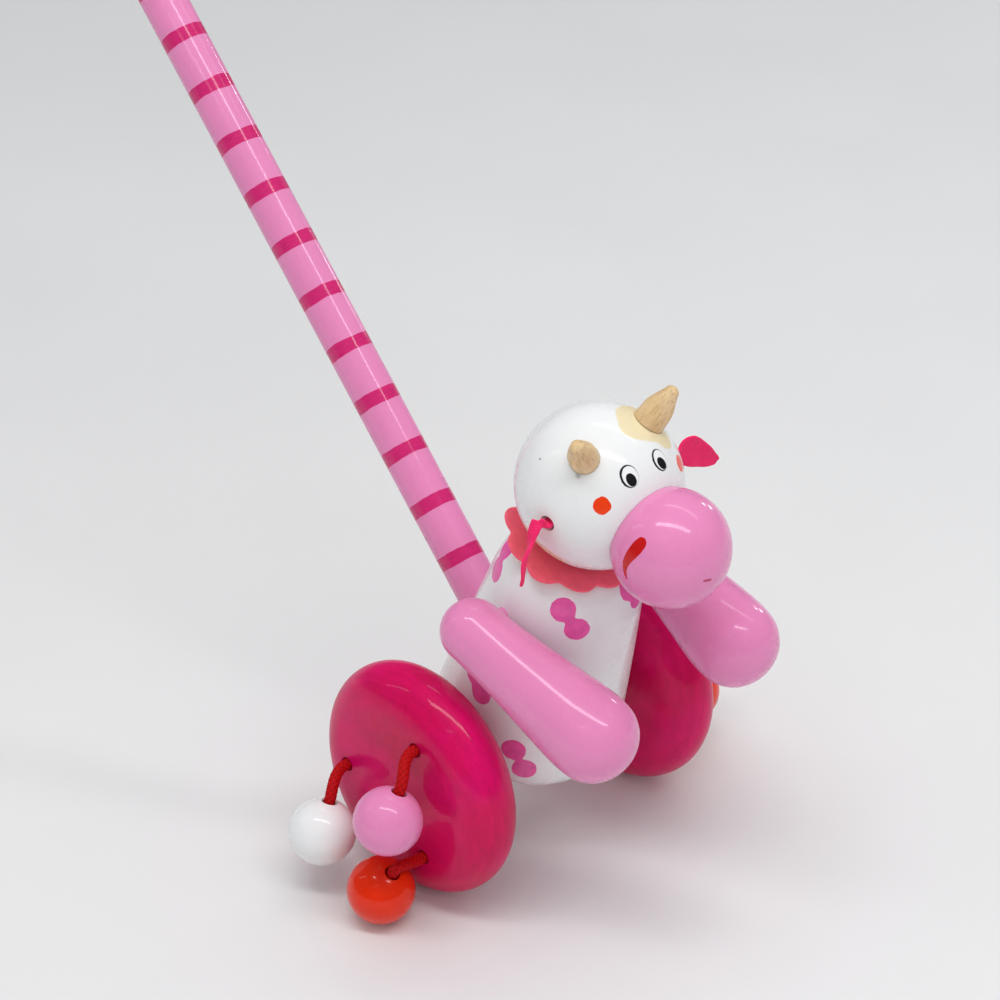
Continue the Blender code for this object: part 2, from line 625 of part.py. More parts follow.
clear_scene()
TOY = make_collection("push_along_cow")
CUTTERS = make_collection("cutters")
CUTTERS.hide_render = True
WHITE = make_material("white_paint", (0.86, 0.86, 0.85), 0.18)
PINK = make_material("pink_paint", (0.80, 0.27, 0.52), 0.15)
MAGENTA = make_material("magenta_paint", (0.60, 0.01, 0.16), 0.15)
ORANGE = make_material("orange_paint", (0.75, 0.06, 0.01), 0.15)
BARE_WOOD = make_material("bare_wood", (0.62, 0.42, 0.22), 0.55)
FELT_PINK = make_material("hot_pink_felt", (0.80, 0.04, 0.14), 0.95)
FELT_CORAL = make_material("coral_felt", (0.80, 0.10, 0.12), 0.95)
RED_CORD = make_material("red_cord", (0.50, 0.01, 0.01), 0.85)
HOLE = make_material("hole", (0.1, 0.1, 0.1), 0.9)
BEAD_MATERIALS = {"white": WHITE, "pink": PINK, "orange": ORANGE}

make_body()
make_neck()
make_head()
make_axle()
make_rod()
for side_name in SIDES:
    make_wheel(side_name)
    make_arm(side_name)
    for bead_colour, bead_material in BEAD_MATERIALS.items():
        make_bead(side_name, bead_colour, bead_material)
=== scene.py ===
"""Looks for the wooden push-along cow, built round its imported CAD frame.

Metres, +Z up. The floor is Z = 0, the cow faces -Y and the axle lies along X. The cow's right side is at -X.
"""

import json
import math

import bmesh
import bpy
import numpy as np
from mathutils import Euler, Matrix, Vector, noise


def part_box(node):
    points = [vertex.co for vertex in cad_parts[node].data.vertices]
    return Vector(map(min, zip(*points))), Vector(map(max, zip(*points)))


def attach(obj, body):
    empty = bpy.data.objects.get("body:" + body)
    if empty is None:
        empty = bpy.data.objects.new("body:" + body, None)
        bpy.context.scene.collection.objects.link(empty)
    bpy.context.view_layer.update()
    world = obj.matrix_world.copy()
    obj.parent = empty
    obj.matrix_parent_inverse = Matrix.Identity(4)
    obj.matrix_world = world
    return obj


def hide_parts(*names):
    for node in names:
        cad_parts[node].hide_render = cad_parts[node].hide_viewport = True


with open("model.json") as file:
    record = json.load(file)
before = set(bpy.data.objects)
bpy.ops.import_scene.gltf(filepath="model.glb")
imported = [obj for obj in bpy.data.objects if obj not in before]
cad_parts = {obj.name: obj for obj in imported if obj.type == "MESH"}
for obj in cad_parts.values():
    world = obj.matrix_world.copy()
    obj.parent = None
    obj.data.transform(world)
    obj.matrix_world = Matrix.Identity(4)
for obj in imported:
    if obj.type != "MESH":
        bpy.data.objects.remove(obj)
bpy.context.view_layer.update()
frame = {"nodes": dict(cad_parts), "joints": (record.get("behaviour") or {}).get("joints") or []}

# The CAD's own dimensions, where the frame's boxes don't give them
GAP = 0.0003
BODY_LEAN = math.radians(17.5)
BODY_BOTTOM = -0.0110
BODY_TOP = 0.0934
BODY_RADIUS = 0.0347
BODY_WIDEST = 0.0090
BODY_BELLY_DEPTH = 0.0210
BODY_SHOULDER = 0.0765
BODY_TOP_RADIUS = 0.0165
BODY_TAPER = 0.00675
BODY_TAPER_LENGTH = 0.063
HEAD_RADIUS = 0.0297
HEAD_ALONG_BODY = 0.1242
HEAD_TURN = math.radians(-2.2)
HEAD_TILT = math.radians(-4.0)
MUZZLE_RADIUS = 0.0209
MUZZLE_DISTANCE = 0.0365
MUZZLE_DROP = 15.5
HORN_LENGTH = 0.0156
HORN_RADIUS = {"right": 0.0052, "left": 0.0057}
HORN_TENON_RADIUS = 0.0030
HORN_TENON_LENGTH = 0.0070
HORN_TIP = 0.0027
HORN_SEAT_DEPTH = 0.0004
EAR_HOLE_RADIUS = 0.0028
EAR_HOLE_DEPTH = 0.0064
EAR_THICKNESS = 0.0012
EAR_WIDTH = 0.0130
COLLAR_THICKNESS = 0.0014
COLLAR_RADIUS = 0.0250
COLLAR_LOBES = 10
COLLAR_LOBE_DEPTH = 0.0040
COLLAR_TURN = math.radians(1)
COLLAR_SHIFT = Vector((-0.0020, 0.0030, 0))
NECK_DOWEL_RADIUS = 0.0040
WHEEL_FLAT_RADIUS = 0.0300
ROD_RADIUS = 0.0086
ROD_LENGTH = 0.4800
ROD_LEAN = math.radians(43.2)
ROD_MEETS_BODY = 0.0163
ROD_START = 0.0060
ROD_LEAVES_BODY = 0.0548
ROD_EDGE = 0.0008
KNOB_RADIUS = 0.0170
KNOB_DEPTH_ON_ROD = 0.0140
KNOB_FLAT_RADIUS = 0.0060
SHOULDER_X = 0.0424
SHOULDER_Y = -0.0185
SHOULDER_Z = 0.0680
ARM_LENGTH = 0.0554
ARM_SHOULDER_RADIUS = 0.0117
ARM_HAND_RADIUS = 0.0171
ARM_FLARE = 1.5
ARM_TOE_IN = math.radians(8.8)
ARM_DROP = {"right": math.radians(24.1), "left": math.radians(13.6)}
BEAD_RADIUS = 0.0125
CORD_RADIUS = 0.0022
CORD_HOLE_RADIUS = 0.0026
CORD_DEPTH_IN_WHEEL = 0.0100
CORD_DEPTH_IN_BEAD = 0.0170
CORD_LEAD = 0.0008
CORD_BEND = 0.38

# Each bead's centre from its cord hole (outboard, Y, Z), and the way from its centre to its own hole
BEADS = {
    "right": {
        "white": ((0.0167, -0.0047, -0.0195), (-0.33, 0.01, 0.94)),
        "pink": ((0.0167, -0.0040, -0.0202), (-0.34, -0.13, 0.93)),
        "orange": ((0.0149, 0.0064, -0.0104), (-0.05, -0.48, 0.87)),
    },
    "left": {
        "white": ((0.0150, 0.0113, -0.0150), (-0.20, -0.50, 0.84)),
        "pink": ((0.0167, -0.0040, -0.0198), (-0.34, -0.10, 0.93)),
        "orange": ((0.0167, 0.0158, -0.0114), (-0.35, -0.55, 0.76)),
    },
}
SIDES = {"right": -1, "left": 1}

# Painted marks. Body spots: pairs of dots at (angle from the front towards +X in degrees, height in mm)
SPOT_RADIUS = 0.0046
BODY_SPOTS = [
    ((-52.2, 85.4), (-37.9, 79.1)),
    ((-99.0, 40.0), (-88.5, 35.5)),
    ((-55.6, 19.4), (-45.9, 11.6)),
    ((12.0, 89.6), (21.0, 84.6)),
    ((-134.5, 86.5), (-125.5, 79.0)),
    ((54.0, 66.0), (66.0, 60.0)),
    ((88.0, 87.0), (101.0, 81.5)),
    ((97.0, 28.0), (85.0, 34.0)),
    ((52.0, 20.0), (62.0, 13.0)),
    ((140.0, 56.0), (152.0, 50.0)),
    ((-146.0, 50.0), (-157.0, 44.0)),
    ((-112.0, 6.0), (-122.0, 0.0)),
    ((128.0, 12.0), (138.0, 5.0)),
    ((176.0, 26.0), (166.0, 19.0)),
    ((-168.0, -8.0), (-156.0, -12.0)),
]
BAND_WIDTH = 0.0052
BAND_PITCH = 0.0220
FIRST_BAND = 0.0565
LAST_BAND = 18

# Lines drawn on the muzzle, as dots at (azimuth, elevation, radius in mm) that run into each other
MOUTH_COMMA = [
    (-81.4, 30.9, 2.0), (-83.0, 27.5, 2.2), (-85.0, 24.0, 2.3), (-87.5, 19.5, 2.2), (-90.0, 15.0, 2.0),
    (-92.0, 10.5, 1.75), (-93.6, 6.0, 1.5), (-94.2, 1.5, 1.2), (-94.2, -2.5, 0.95), (-93.4, -6.5, 0.7),
    (-92.5, -10.0, 0.5),
]
SMILE = [
    (-14.5, -4.3, 0.25), (-13.4, -4.8, 0.4), (-12.2, -5.1, 0.5), (-10.9, -5.3, 0.55), (-9.6, -5.5, 0.55),
    (-8.3, -5.7, 0.5), (-7.1, -6.1, 0.4), (-6.0, -6.6, 0.25),
]

# Cutters, and detail that only the visible pieces have
BEYOND = 0.0040
SLAB_SIZE = 0.06
EDGE_ANGLES = (1.57, 1.2, 0.8, 0.4, 0)
SEAM = 0.00004
CORD_STEP = 0.00020
CORD_SIDES = 48
CORD_RELIEF = 0.00063
CORD_STRANDS = 5
CORD_PITCH = 0.0110
EAR_ROWS = 30
EAR_OPENS_AT = {"right": 19.0, "left": 9.0}
EAR_TWIST_START = 0.47
EAR_TWIST_LENGTH = 0.30
EAR_ROLLED_HALF = 0.0022
EAR_TIP_HALF = 0.0012

# The camera's axes, its place in wheel radii from the axle's middle, and its lens
CAMERA_RIGHT = Vector((0.7259, -0.6878, 0.0))
CAMERA_UP = Vector((0.3530, 0.3726, 0.8582))
CAMERA_BACK = Vector((-0.5903, -0.6230, 0.5133))
CAMERA_PLACE = 24.108 * CAMERA_BACK - 0.1909 * CAMERA_RIGHT + 1.8286 * CAMERA_UP
CAMERA_LENS = 104.4

# The ceiling tubes' height above the axle
TUBE_HEIGHT = 1.6

# Colours, linear
WHITE = (0.84, 0.85, 0.85, 1)
PINK = (0.80, 0.255, 0.50, 1)
MAGENTA = (0.68, 0.003, 0.125, 1)
ORANGE = (0.80, 0.026, 0.002, 1)
BAND = (0.63, 0.022, 0.16, 1)
SPOT = (0.84, 0.118, 0.41, 1)
CREAM = (0.84, 0.72, 0.47, 1)
EYE_BLACK = (0.012, 0.012, 0.014, 1)
EYE_WHITE = (0.86, 0.87, 0.88, 1)
CHEEK = (0.88, 0.050, 0.004, 1)
MOUTH_RED = (0.56, 0.008, 0.008, 1)
MOUTH_LINE = (0.52, 0.06, 0.16, 1)
HOT_PINK = (0.96, 0.026, 0.155, 1)
CORAL = (0.98, 0.135, 0.205, 1)
CORD_RED = (0.50, 0.003, 0.006, 1)
TAN = (0.82, 0.59, 0.30, 1)


# Places


def middle_of(node):
    low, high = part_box(node)
    return (low + high) / 2


def radius_of(node):
    """The radius of a round CAD node that lies along X."""
    low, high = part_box(node)
    return (high.z - low.z) / 2


AXLE = middle_of("axle_dowel")
BODY_FRAME = Matrix.Translation(AXLE) @ Matrix.Rotation(BODY_LEAN, 4, "X")
HEAD_CENTRE = BODY_FRAME @ Vector((0, 0, HEAD_ALONG_BODY))
HEAD_FRAME = (
    Matrix.Translation(HEAD_CENTRE) @ Matrix.Rotation(HEAD_TURN, 4, "Z") @ Matrix.Rotation(HEAD_TILT, 4, "Y")
)
HEAD_TURNED = HEAD_FRAME.to_3x3()
ROD_FRAME = (
    Matrix.Translation(BODY_FRAME @ Vector((0, 0, ROD_MEETS_BODY))) @ Matrix.Rotation(-ROD_LEAN, 4, "X")
)
PIVOTS = {joint["name"]: Vector(joint["pos_m"]) for joint in frame["joints"]}


def direction(azimuth, elevation):
    """A direction: azimuth from -Y towards +X and elevation, in degrees."""
    a, e = math.radians(azimuth), math.radians(elevation)
    return Vector((math.cos(e) * math.sin(a), -math.cos(e) * math.cos(a), math.sin(e)))


HORN_DIRECTIONS = {"right": direction(-55.7, 49.4), "left": direction(53.9, 53.1)}
EAR_DIRECTIONS = {"right": direction(-79.7, 0.4), "left": direction(79.7, 0.4)}
MUZZLE_AXIS = direction(0, -MUZZLE_DROP)


def frame_along(origin, towards):
    """A frame at origin whose Z axis points along towards."""
    turn = Vector(towards).normalized().to_track_quat("Z", "Y").to_matrix()
    return Matrix.Translation(origin) @ turn.to_4x4()


# Materials


class Net:
    """One material's node tree. Each method adds a node and returns its output.

    Textures follow the piece's own frame, which place_piece stores on its points. The floor and the CAD's
    hidden pins and dowels use their object coordinates instead.
    """

    def __init__(self, name, stored=True):
        self.material = bpy.data.materials.new(name)
        self.material.use_nodes = True
        tree = self.material.node_tree
        self.nodes, self.links = tree.nodes, tree.links
        self.shader = self.nodes["Principled BSDF"]
        if stored:
            self.coords = self.node("Attribute", {}, attribute_name="local").outputs["Vector"]
        else:
            self.coords = self.nodes.new("ShaderNodeTexCoord").outputs["Object"]

    def node(self, kind, inputs, **settings):
        made = self.nodes.new("ShaderNode" + kind)
        for key, setting in settings.items():
            setattr(made, key, setting)
        for key, given in inputs.items():
            self.feed(made.inputs[key], given)
        return made

    def feed(self, socket, given):
        if isinstance(given, bpy.types.NodeSocket):
            self.links.new(given, socket)
        else:
            socket.default_value = given

    def math(self, operation, a, b=0.0, c=0.0):
        return self.node("Math", {0: a, 1: b, 2: c}, operation=operation).outputs[0]

    def scaled(self, number, factor, plus):
        return self.math("MULTIPLY_ADD", number, factor, plus)

    def noise(self, scale, detail=2.0, stretch=(1, 1, 1), roughness=0.5):
        """Noise from 0 to 1. stretch over 1 draws it finer along that axis."""
        place = self.node("Mapping", {"Vector": self.coords, "Scale": stretch}).outputs[0]
        inputs = {"Vector": place, "Scale": scale, "Detail": detail, "Roughness": roughness}
        return self.node("TexNoise", inputs).outputs["Fac"]

    def span(self, number, low, high, to_low=0.0, to_high=1.0):
        inputs = {0: number, 1: low, 2: high, 3: to_low, 4: to_high}
        return self.node("MapRange", inputs, interpolation_type="SMOOTHSTEP").outputs[0]

    def mix(self, factor, a, b):
        return self.node("Mix", {0: factor, 6: a, 7: b}, data_type="RGBA").outputs[2]

    def shade(self, colour, amount):
        """The colour times a number."""
        grey = self.node("CombineColor", {0: amount, 1: amount, 2: amount}).outputs[0]
        made = self.node("Mix", {0: 1.0, 6: colour, 7: grey}, data_type="RGBA", blend_type="MULTIPLY")
        return made.outputs[2]

    def distance(self, place):
        made = self.node("VectorMath", {0: self.coords, 1: tuple(place)}, operation="DISTANCE")
        return made.outputs["Value"]

    def from_dot(self, centre, radius):
        """How far outside a dot's edge a point is, in metres."""
        return self.math("SUBTRACT", self.distance(centre), radius)

    def from_dots(self, dots, merge):
        """The same for several (centre, radius) dots that run into each other."""
        field = self.from_dot(*dots[0])
        for dot in dots[1:]:
            field = self.math("SMOOTH_MIN", field, self.from_dot(*dot), merge)
        return field

    def painted(self, field, wobble=0.0003, soft=0.00010, wobble_scale=500.0):
        """1 inside a hand-painted mark and 0 outside, with an edge that wanders a little."""
        drift = self.scaled(self.noise(wobble_scale), wobble * 2, -wobble)
        return self.span(self.math("ADD", field, drift), -soft, soft, 1.0, 0.0)

    def ellipse(self, outward, half, tilt):
        """1 inside an ellipse on the head, out along outward. half is its half width and half height."""
        centre, soft = outward * HEAD_RADIUS, 0.04
        across = Vector((0, 0, 1)).cross(outward).normalized()
        turn = Matrix((across, outward.cross(across), outward)).transposed() @ Matrix.Rotation(tilt, 3, "Z")
        inputs = {"Vector": self.coords, "Location": tuple(centre), "Rotation": tuple(turn.to_euler())}
        inputs["Scale"] = (half[0], half[1], 0.02)
        local = self.node("Mapping", inputs, vector_type="TEXTURE").outputs[0]
        away = self.node("VectorMath", {0: local}, operation="LENGTH").outputs["Value"]
        drift = self.scaled(self.noise(700.0), 0.12, -0.06)
        return self.span(self.math("ADD", away, drift), 1 - soft, 1 + soft, 1.0, 0.0)

    def bump(self, height, distance, strength, below=None):
        inputs = {"Height": height, "Distance": distance, "Strength": strength}
        if below is not None:
            inputs["Normal"] = below
        return self.node("Bump", inputs).outputs[0]

    def use(self, **sockets):
        """Links or sets the shader's inputs, named with _ for a space."""
        for key, given in sockets.items():
            self.feed(self.shader.inputs[key.replace("_", " ")], given)


def paint(name, colour, grain=0.05, marks=None, stretch=(1, 1, 0.12), texture=1.0, stored=True):
    """Glossy paint over turned wood: cloudy colour, faint grain, fine specks and a clear coat."""
    net = Net(name, stored)
    cloud = net.noise(55.0, 3.0)
    fibres = net.noise(520.0, 4.0, stretch, 0.65)
    specks = net.span(net.noise(2600.0, 1.0), 0.62, 0.74)
    tone = net.scaled(cloud, 2 * grain, 1 - grain)
    tone = net.scaled(fibres, 1.6 * grain, net.math("SUBTRACT", tone, 0.8 * grain))
    tone = net.scaled(specks, -1.1 * grain, tone)
    shaded, raised = net.shade(colour, tone), None
    if marks:
        shaded, raised = marks(net, shaded)
    peel = net.bump(net.noise(300.0, 2.0), 0.00006, 0.30 * texture)
    relief = net.bump(fibres, 0.00008, 0.30 * texture, peel)
    if raised is not None:
        relief = net.bump(raised, 0.00006, 0.6, relief)
    rough = net.scaled(net.noise(160.0, 3.0), 0.16, 0.20)
    net.use(Base_Color=shaded, Roughness=rough, Normal=relief, Coat_Weight=0.5, Coat_Roughness=0.075)
    net.use(Coat_Normal=peel, IOR=1.48, Specular_IOR_Level=0.12)
    return net.material


def body_point(angle, height_mm):
    height, a = height_mm / 1000, math.radians(angle)
    radius = body_radius(height)
    return Vector((radius * math.sin(a), -radius * math.cos(a), height))


def body_marks(net, base):
    """Pairs of round magenta dabs that just run together."""
    field = None
    for pair in BODY_SPOTS:
        spots = net.from_dots([(body_point(*place), SPOT_RADIUS) for place in pair], 0.0030)
        field = spots if field is None else net.math("MINIMUM", field, spots)
    mask = net.painted(field)
    thin = net.shade(SPOT, net.span(net.noise(260.0, 3.0), 0.3, 0.7, 0.92, 1.08))
    return net.mix(mask, base, thin), mask


def on_head(azimuth, elevation):
    return direction(azimuth, elevation) * HEAD_RADIUS


def head_marks(net, base):
    """Three cream patches, two round eyes, two orange cheeks, a painted shadow under the near horn and a
    speck.
    """
    horn_patch = [(on_head(46, 60), 0.0090), (on_head(20, 63), 0.0044), (on_head(44, 42), 0.0052)]
    jaw_patch = [(on_head(-112, -33), 0.0098), (on_head(-92, -40), 0.0066)]
    far_patch = [(on_head(125, -8), 0.0080), (on_head(146, 2), 0.0060)]
    colour, raised = base, None
    for patch in (horn_patch, jaw_patch, far_patch):
        mask = net.painted(net.from_dots(patch, 0.004), 0.0007, 0.00045, 180.0)
        colour = net.mix(mask, colour, CREAM)
    for side in (-1, 1):
        cheek = net.painted(net.from_dot(on_head(side * 40.5, 19.0), 0.0031), 0.0005, 0.00010, 420.0)
        colour = net.mix(cheek, colour, CHEEK)
        raised = cheek if raised is None else net.math("MAXIMUM", raised, cheek)
        lean = math.radians(-7 * side)
        outline = net.ellipse(direction(side * 17.0, 35.2), (0.0033, 0.0040), lean)
        white = net.ellipse(direction(side * 17.0 + 0.9, 34.9), (0.00285, 0.00360), lean)
        pupil = net.ellipse(direction(side * 16.6 + 0.5, 32.6), (0.0018, 0.0024), math.radians(16))
        colour = net.mix(outline, colour, EYE_BLACK)
        colour = net.mix(white, colour, EYE_WHITE)
        colour = net.mix(pupil, colour, EYE_BLACK)
        raised = net.math("MAXIMUM", raised, outline)
    # Painted shadow: a small dark grey crescent under the near horn, where its seat shades the head.
    horn_shadow = net.painted(net.from_dot(on_head(-59.3, 38.2), 0.0009), 0.0003, 0.0005)
    colour = net.mix(net.math("MULTIPLY", horn_shadow, 0.55), colour, (0.30, 0.29, 0.25, 1))
    speck = net.painted(net.from_dot(on_head(-100.9, 39.4), 0.0004), 0.0001, 0.00012)
    return net.mix(speck, colour, (0.30, 0.30, 0.31, 1)), raised


def muzzle_dots(line, mirror):
    """Dots for a line on the muzzle, or on its other side where mirror is -1."""
    dots = []
    for azimuth, elevation, radius in line:
        way = HEAD_TURNED.inverted() @ direction(azimuth, elevation)
        way.x *= mirror
        dots.append((way * MUZZLE_RADIUS, radius / 1000))
    return dots


def muzzle_marks(net, base):
    """A red comma at each corner of the mouth and a short smile line in front."""
    near, far = (net.from_dots(muzzle_dots(MOUTH_COMMA, mirror), 0.0009) for mirror in (1, -1))
    commas = net.painted(net.math("MINIMUM", near, far), 0.00015, 0.00010)
    line = net.painted(net.from_dots(muzzle_dots(SMILE, 1), 0.0007), 0.00008, 0.00012)
    colour = net.mix(commas, base, MOUTH_RED)
    return net.mix(line, colour, MOUTH_LINE), commas


def rod_marks(net, base):
    """Magenta bands brushed round the rod, each a little crooked, and none under the knob."""
    split = net.node("SeparateXYZ", {0: net.coords})
    turn = net.math("ARCTAN2", split.outputs[1], split.outputs[0])
    wander = net.math("MULTIPLY", net.math("SINE", net.math("ADD", turn, 0.6)), 0.00035)
    drift = net.scaled(net.noise(150.0, 2.0), 0.0012, -0.0006)
    along = net.math("ADD", net.math("ADD", split.outputs[2], wander), drift)
    steps = net.math("DIVIDE", net.math("SUBTRACT", along, FIRST_BAND), BAND_PITCH)
    place = net.math("ROUND", steps)
    away = net.math("MULTIPLY", net.math("ABSOLUTE", net.math("SUBTRACT", steps, place)), BAND_PITCH)
    mask = net.span(away, BAND_WIDTH / 2 - 0.0001, BAND_WIDTH / 2 + 0.0001, 1.0, 0.0)
    mask = net.math("MULTIPLY", mask, net.math("LESS_THAN", net.math("ABSOLUTE", place), LAST_BAND - 0.5))
    mask = net.math("MULTIPLY", mask, net.math("GREATER_THAN", place, -0.5))
    brushed = net.noise(300.0, 4.0, (1, 1, 14), 0.6)
    band = net.shade(BAND, net.span(brushed, 0.25, 0.75, 0.86, 1.12))
    return net.mix(mask, base, band), mask


def stained_wood(name, colour):
    """The wheels' deep stain under lacquer, with the wood's grain and pores showing through."""
    net = Net(name)
    rings = net.noise(90.0, 5.0, (0.6, 1.0, 5.0), 0.6)
    pores = net.span(net.noise(900.0, 3.0, (1.0, 0.25, 1.0)), 0.56, 0.72)
    specks = net.span(net.noise(3200.0, 1.0), 0.60, 0.75)
    tone = net.scaled(net.span(rings, 0.3, 0.7), 0.16, 0.92)
    tone = net.scaled(pores, -0.12, tone)
    tone = net.scaled(specks, 0.10, tone)
    mottled = net.mix(net.span(net.noise(38.0, 3.0), 0.35, 0.65), colour, (0.61, 0.003, 0.085, 1))
    peel = net.bump(net.noise(300.0, 2.0), 0.00006, 0.3)
    relief = net.bump(pores, 0.00006, 0.4, peel)
    rough = net.scaled(net.noise(140.0, 3.0), 0.18, 0.30)
    net.use(Base_Color=net.shade(mottled, tone), Roughness=rough, Normal=relief, Coat_Weight=0.3)
    net.use(Coat_Roughness=0.07, Coat_Normal=peel, IOR=1.48, Specular_IOR_Level=0.08)
    return net.material


def bare_wood(name, stored=True):
    """Sanded, unpainted wood with fine grain along the piece."""
    net = Net(name, stored)
    grain = net.noise(420.0, 5.0, (1, 1, 0.10), 0.65)
    pores = net.span(net.noise(1500.0, 3.0, (1, 1, 0.15)), 0.58, 0.70)
    blotch = net.span(net.noise(170.0, 3.0), 0.3, 0.7)
    colour = net.mix(net.span(grain, 0.3, 0.7), TAN, (0.66, 0.43, 0.20, 1))
    colour = net.mix(net.math("MULTIPLY", blotch, 0.45), colour, (0.80, 0.60, 0.38, 1))
    colour = net.mix(net.math("MULTIPLY", pores, 0.5), colour, (0.36, 0.20, 0.09, 1))
    relief = net.bump(net.math("SUBTRACT", grain, pores), 0.00014, 0.7)
    rough = net.scaled(grain, 0.2, 0.42)
    net.use(Base_Color=colour, Roughness=rough, Normal=relief, Coat_Weight=0.12, Coat_Roughness=0.35)
    return net.material


def felt(name, colour):
    """Pressed felt: matted fibres that catch the light, with pale and dark flecks."""
    net = Net(name)
    fibres = net.noise(1500.0, 6.0, (1, 1, 1), 0.75)
    matted = net.noise(240.0, 4.0)
    flecks = net.span(net.noise(2800.0, 2.0, (1, 0.3, 1)), 0.6, 0.75)
    tone = net.scaled(net.math("ADD", fibres, matted), 0.30, 0.70)
    fuzzy = net.mix(net.math("MULTIPLY", flecks, 0.16), net.shade(colour, tone), (0.95, 0.42, 0.48, 1))
    relief = net.bump(net.math("ADD", fibres, net.math("MULTIPLY", matted, 0.6)), 0.0003, 0.8)
    net.use(Base_Color=fuzzy, Roughness=0.95, Normal=relief, Sheen_Weight=0.12, Sheen_Roughness=0.5)
    net.use(Sheen_Tint=(1.0, 0.72, 0.76, 1), Specular_IOR_Level=0.08)
    return net.material


def braid(name):
    """Red braid. Its strands are in the mesh, and the gaps between them are darkened with painted shade."""
    net = Net(name)
    height = net.node("Attribute", {}, attribute_name="strand").outputs["Fac"]
    threads = net.noise(4200.0, 3.0, (1, 1, 0.5), 0.7)
    # Painted shade: the red turns nearly black where the strand height is low, in the gaps between strands.
    colour = net.mix(net.span(height, 0.10, 0.85), (0.17, 0.002, 0.003, 1), CORD_RED)
    colour = net.shade(colour, net.scaled(threads, 0.5, 0.75))
    relief = net.bump(threads, 0.0001, 0.6)
    net.use(Base_Color=colour, Roughness=0.6, Normal=relief, Specular_IOR_Level=0.12)
    return net.material


# Meshes


def mesh_from(name, bm):
    """Writes bm to a new mesh and frees it."""
    mesh = bpy.data.meshes.new(name)
    bm.to_mesh(mesh)
    bm.free()
    return mesh


def add_object(name, mesh, place):
    obj = bpy.data.objects.new(name, mesh)
    obj.matrix_world = place
    bpy.context.scene.collection.objects.link(obj)
    return obj


def smooth(mesh, crease=35):
    mesh.shade_smooth()
    mesh.set_sharp_from_angle(angle=math.radians(crease))


def turned(name, profile, place, steps):
    """A closed solid turned about Z. The profile's (radius, height) points run down from the axis's top."""
    bm = bmesh.new()
    rings = []
    for radius, height in profile:
        if radius < 1e-9:
            rings.append([bm.verts.new((0, 0, height))] * steps)
            continue
        angles = [2 * math.pi * i / steps for i in range(steps)]
        rings.append([bm.verts.new((radius * math.cos(a), radius * math.sin(a), height)) for a in angles])
    for upper, lower in zip(rings, rings[1:]):
        for i in range(steps):
            j = (i + 1) % steps
            corners = []
            for vert in (upper[i], lower[i], lower[j], upper[j]):
                if vert not in corners:
                    corners.append(vert)
            if len(corners) > 2:
                bm.faces.new(corners)
    mesh = mesh_from(name, bm)
    smooth(mesh)
    return add_object(name, mesh, place)


def arc(centre, radii, start, end, points):
    """Points on an ellipse's arc, as (radius, height), from the start angle to the end angle in degrees."""
    angles = [math.radians(start + (end - start) * i / (points - 1)) for i in range(points)]
    return [(centre[0] + radii[0] * math.cos(a), centre[1] + radii[1] * math.sin(a)) for a in angles]


def ball(name, radius, place, points, steps):
    profile = arc((0, 0), (radius, radius), 90, -90, points)
    profile[0], profile[-1] = (0, radius), (0, -radius)
    return turned(name, profile, place, steps)


def apply_modifiers(obj):
    bpy.context.view_layer.update()
    evaluated = obj.evaluated_get(bpy.context.evaluated_depsgraph_get())
    mesh = bpy.data.meshes.new_from_object(evaluated)
    obj.modifiers.clear()
    obj.data = mesh


def cut(obj, *cutters):
    """Takes each cutter out of obj."""
    for cutter in cutters:
        modifier = obj.modifiers.new("cut", "BOOLEAN")
        modifier.operation = "DIFFERENCE"
        modifier.solver = "EXACT"
        modifier.object = cutter
    apply_modifiers(obj)
    for cutter in cutters:
        bpy.data.objects.remove(cutter, do_unlink=True)
    smooth(obj.data)


def drill(radius, mouth, bottom, lip=0.0004, steps=48):
    """A cutter for a round hole with a rounded lip. It reaches out beyond the mouth."""
    mouth, bottom = Vector(mouth), Vector(bottom)
    depth = (mouth - bottom).length
    lips = []
    for a in EDGE_ANGLES:
        lips.append((radius + lip * (1 - math.cos(a)), depth - lip + lip * math.sin(a)))
    profile = [(0, depth + BEYOND), (radius + lip, depth + BEYOND)] + lips + [(radius, 0), (0, 0)]
    return turned("cutter", profile, frame_along(bottom, mouth - bottom), steps)


def slab(point, outward):
    """A cutter for all that lies beyond the plane through point."""
    bm = bmesh.new()
    bmesh.ops.create_cube(bm, size=SLAB_SIZE)
    middle = Vector(point) + Vector(outward).normalized() * (SLAB_SIZE / 2)
    return add_object("cutter", mesh_from("cutter", bm), frame_along(middle, outward))


def place_piece(obj, body, material, node):
    """Gives a finished piece its material, and lets it stand for its CAD node.

    Its own coordinates stay as an attribute for its textures, and its points go to their places.
    """
    local = np.empty(3 * len(obj.data.vertices), np.float32)
    obj.data.vertices.foreach_get("co", local)
    obj.data.attributes.new("local", "FLOAT_VECTOR", "POINT").data.foreach_set("vector", local)
    obj.data.transform(obj.matrix_world)
    obj.matrix_world = Matrix.Identity(4)
    obj.data.materials.clear()
    obj.data.materials.append(material)
    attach(obj, body)
    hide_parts(node)


# The body, head and rod


def body_radius(height):
    """The body's radius: a round belly, a slow taper and a rounded shoulder."""
    if height <= BODY_WIDEST:
        return BODY_RADIUS * math.sqrt(max(0.0, 1 - ((BODY_WIDEST - height) / BODY_BELLY_DEPTH) ** 2))
    taper = BODY_TAPER * ((height - BODY_WIDEST) / BODY_TAPER_LENGTH) ** 1.2
    if height <= BODY_SHOULDER:
        return BODY_RADIUS - taper
    reach = (height - BODY_SHOULDER) / (BODY_TOP - BODY_SHOULDER)
    full = BODY_RADIUS - BODY_TAPER * ((BODY_TOP - BODY_WIDEST) / BODY_TAPER_LENGTH) ** 1.2 - BODY_TOP_RADIUS
    return BODY_RADIUS - taper - full * (1 - math.sqrt(max(0.0, 1 - reach**2.2)))


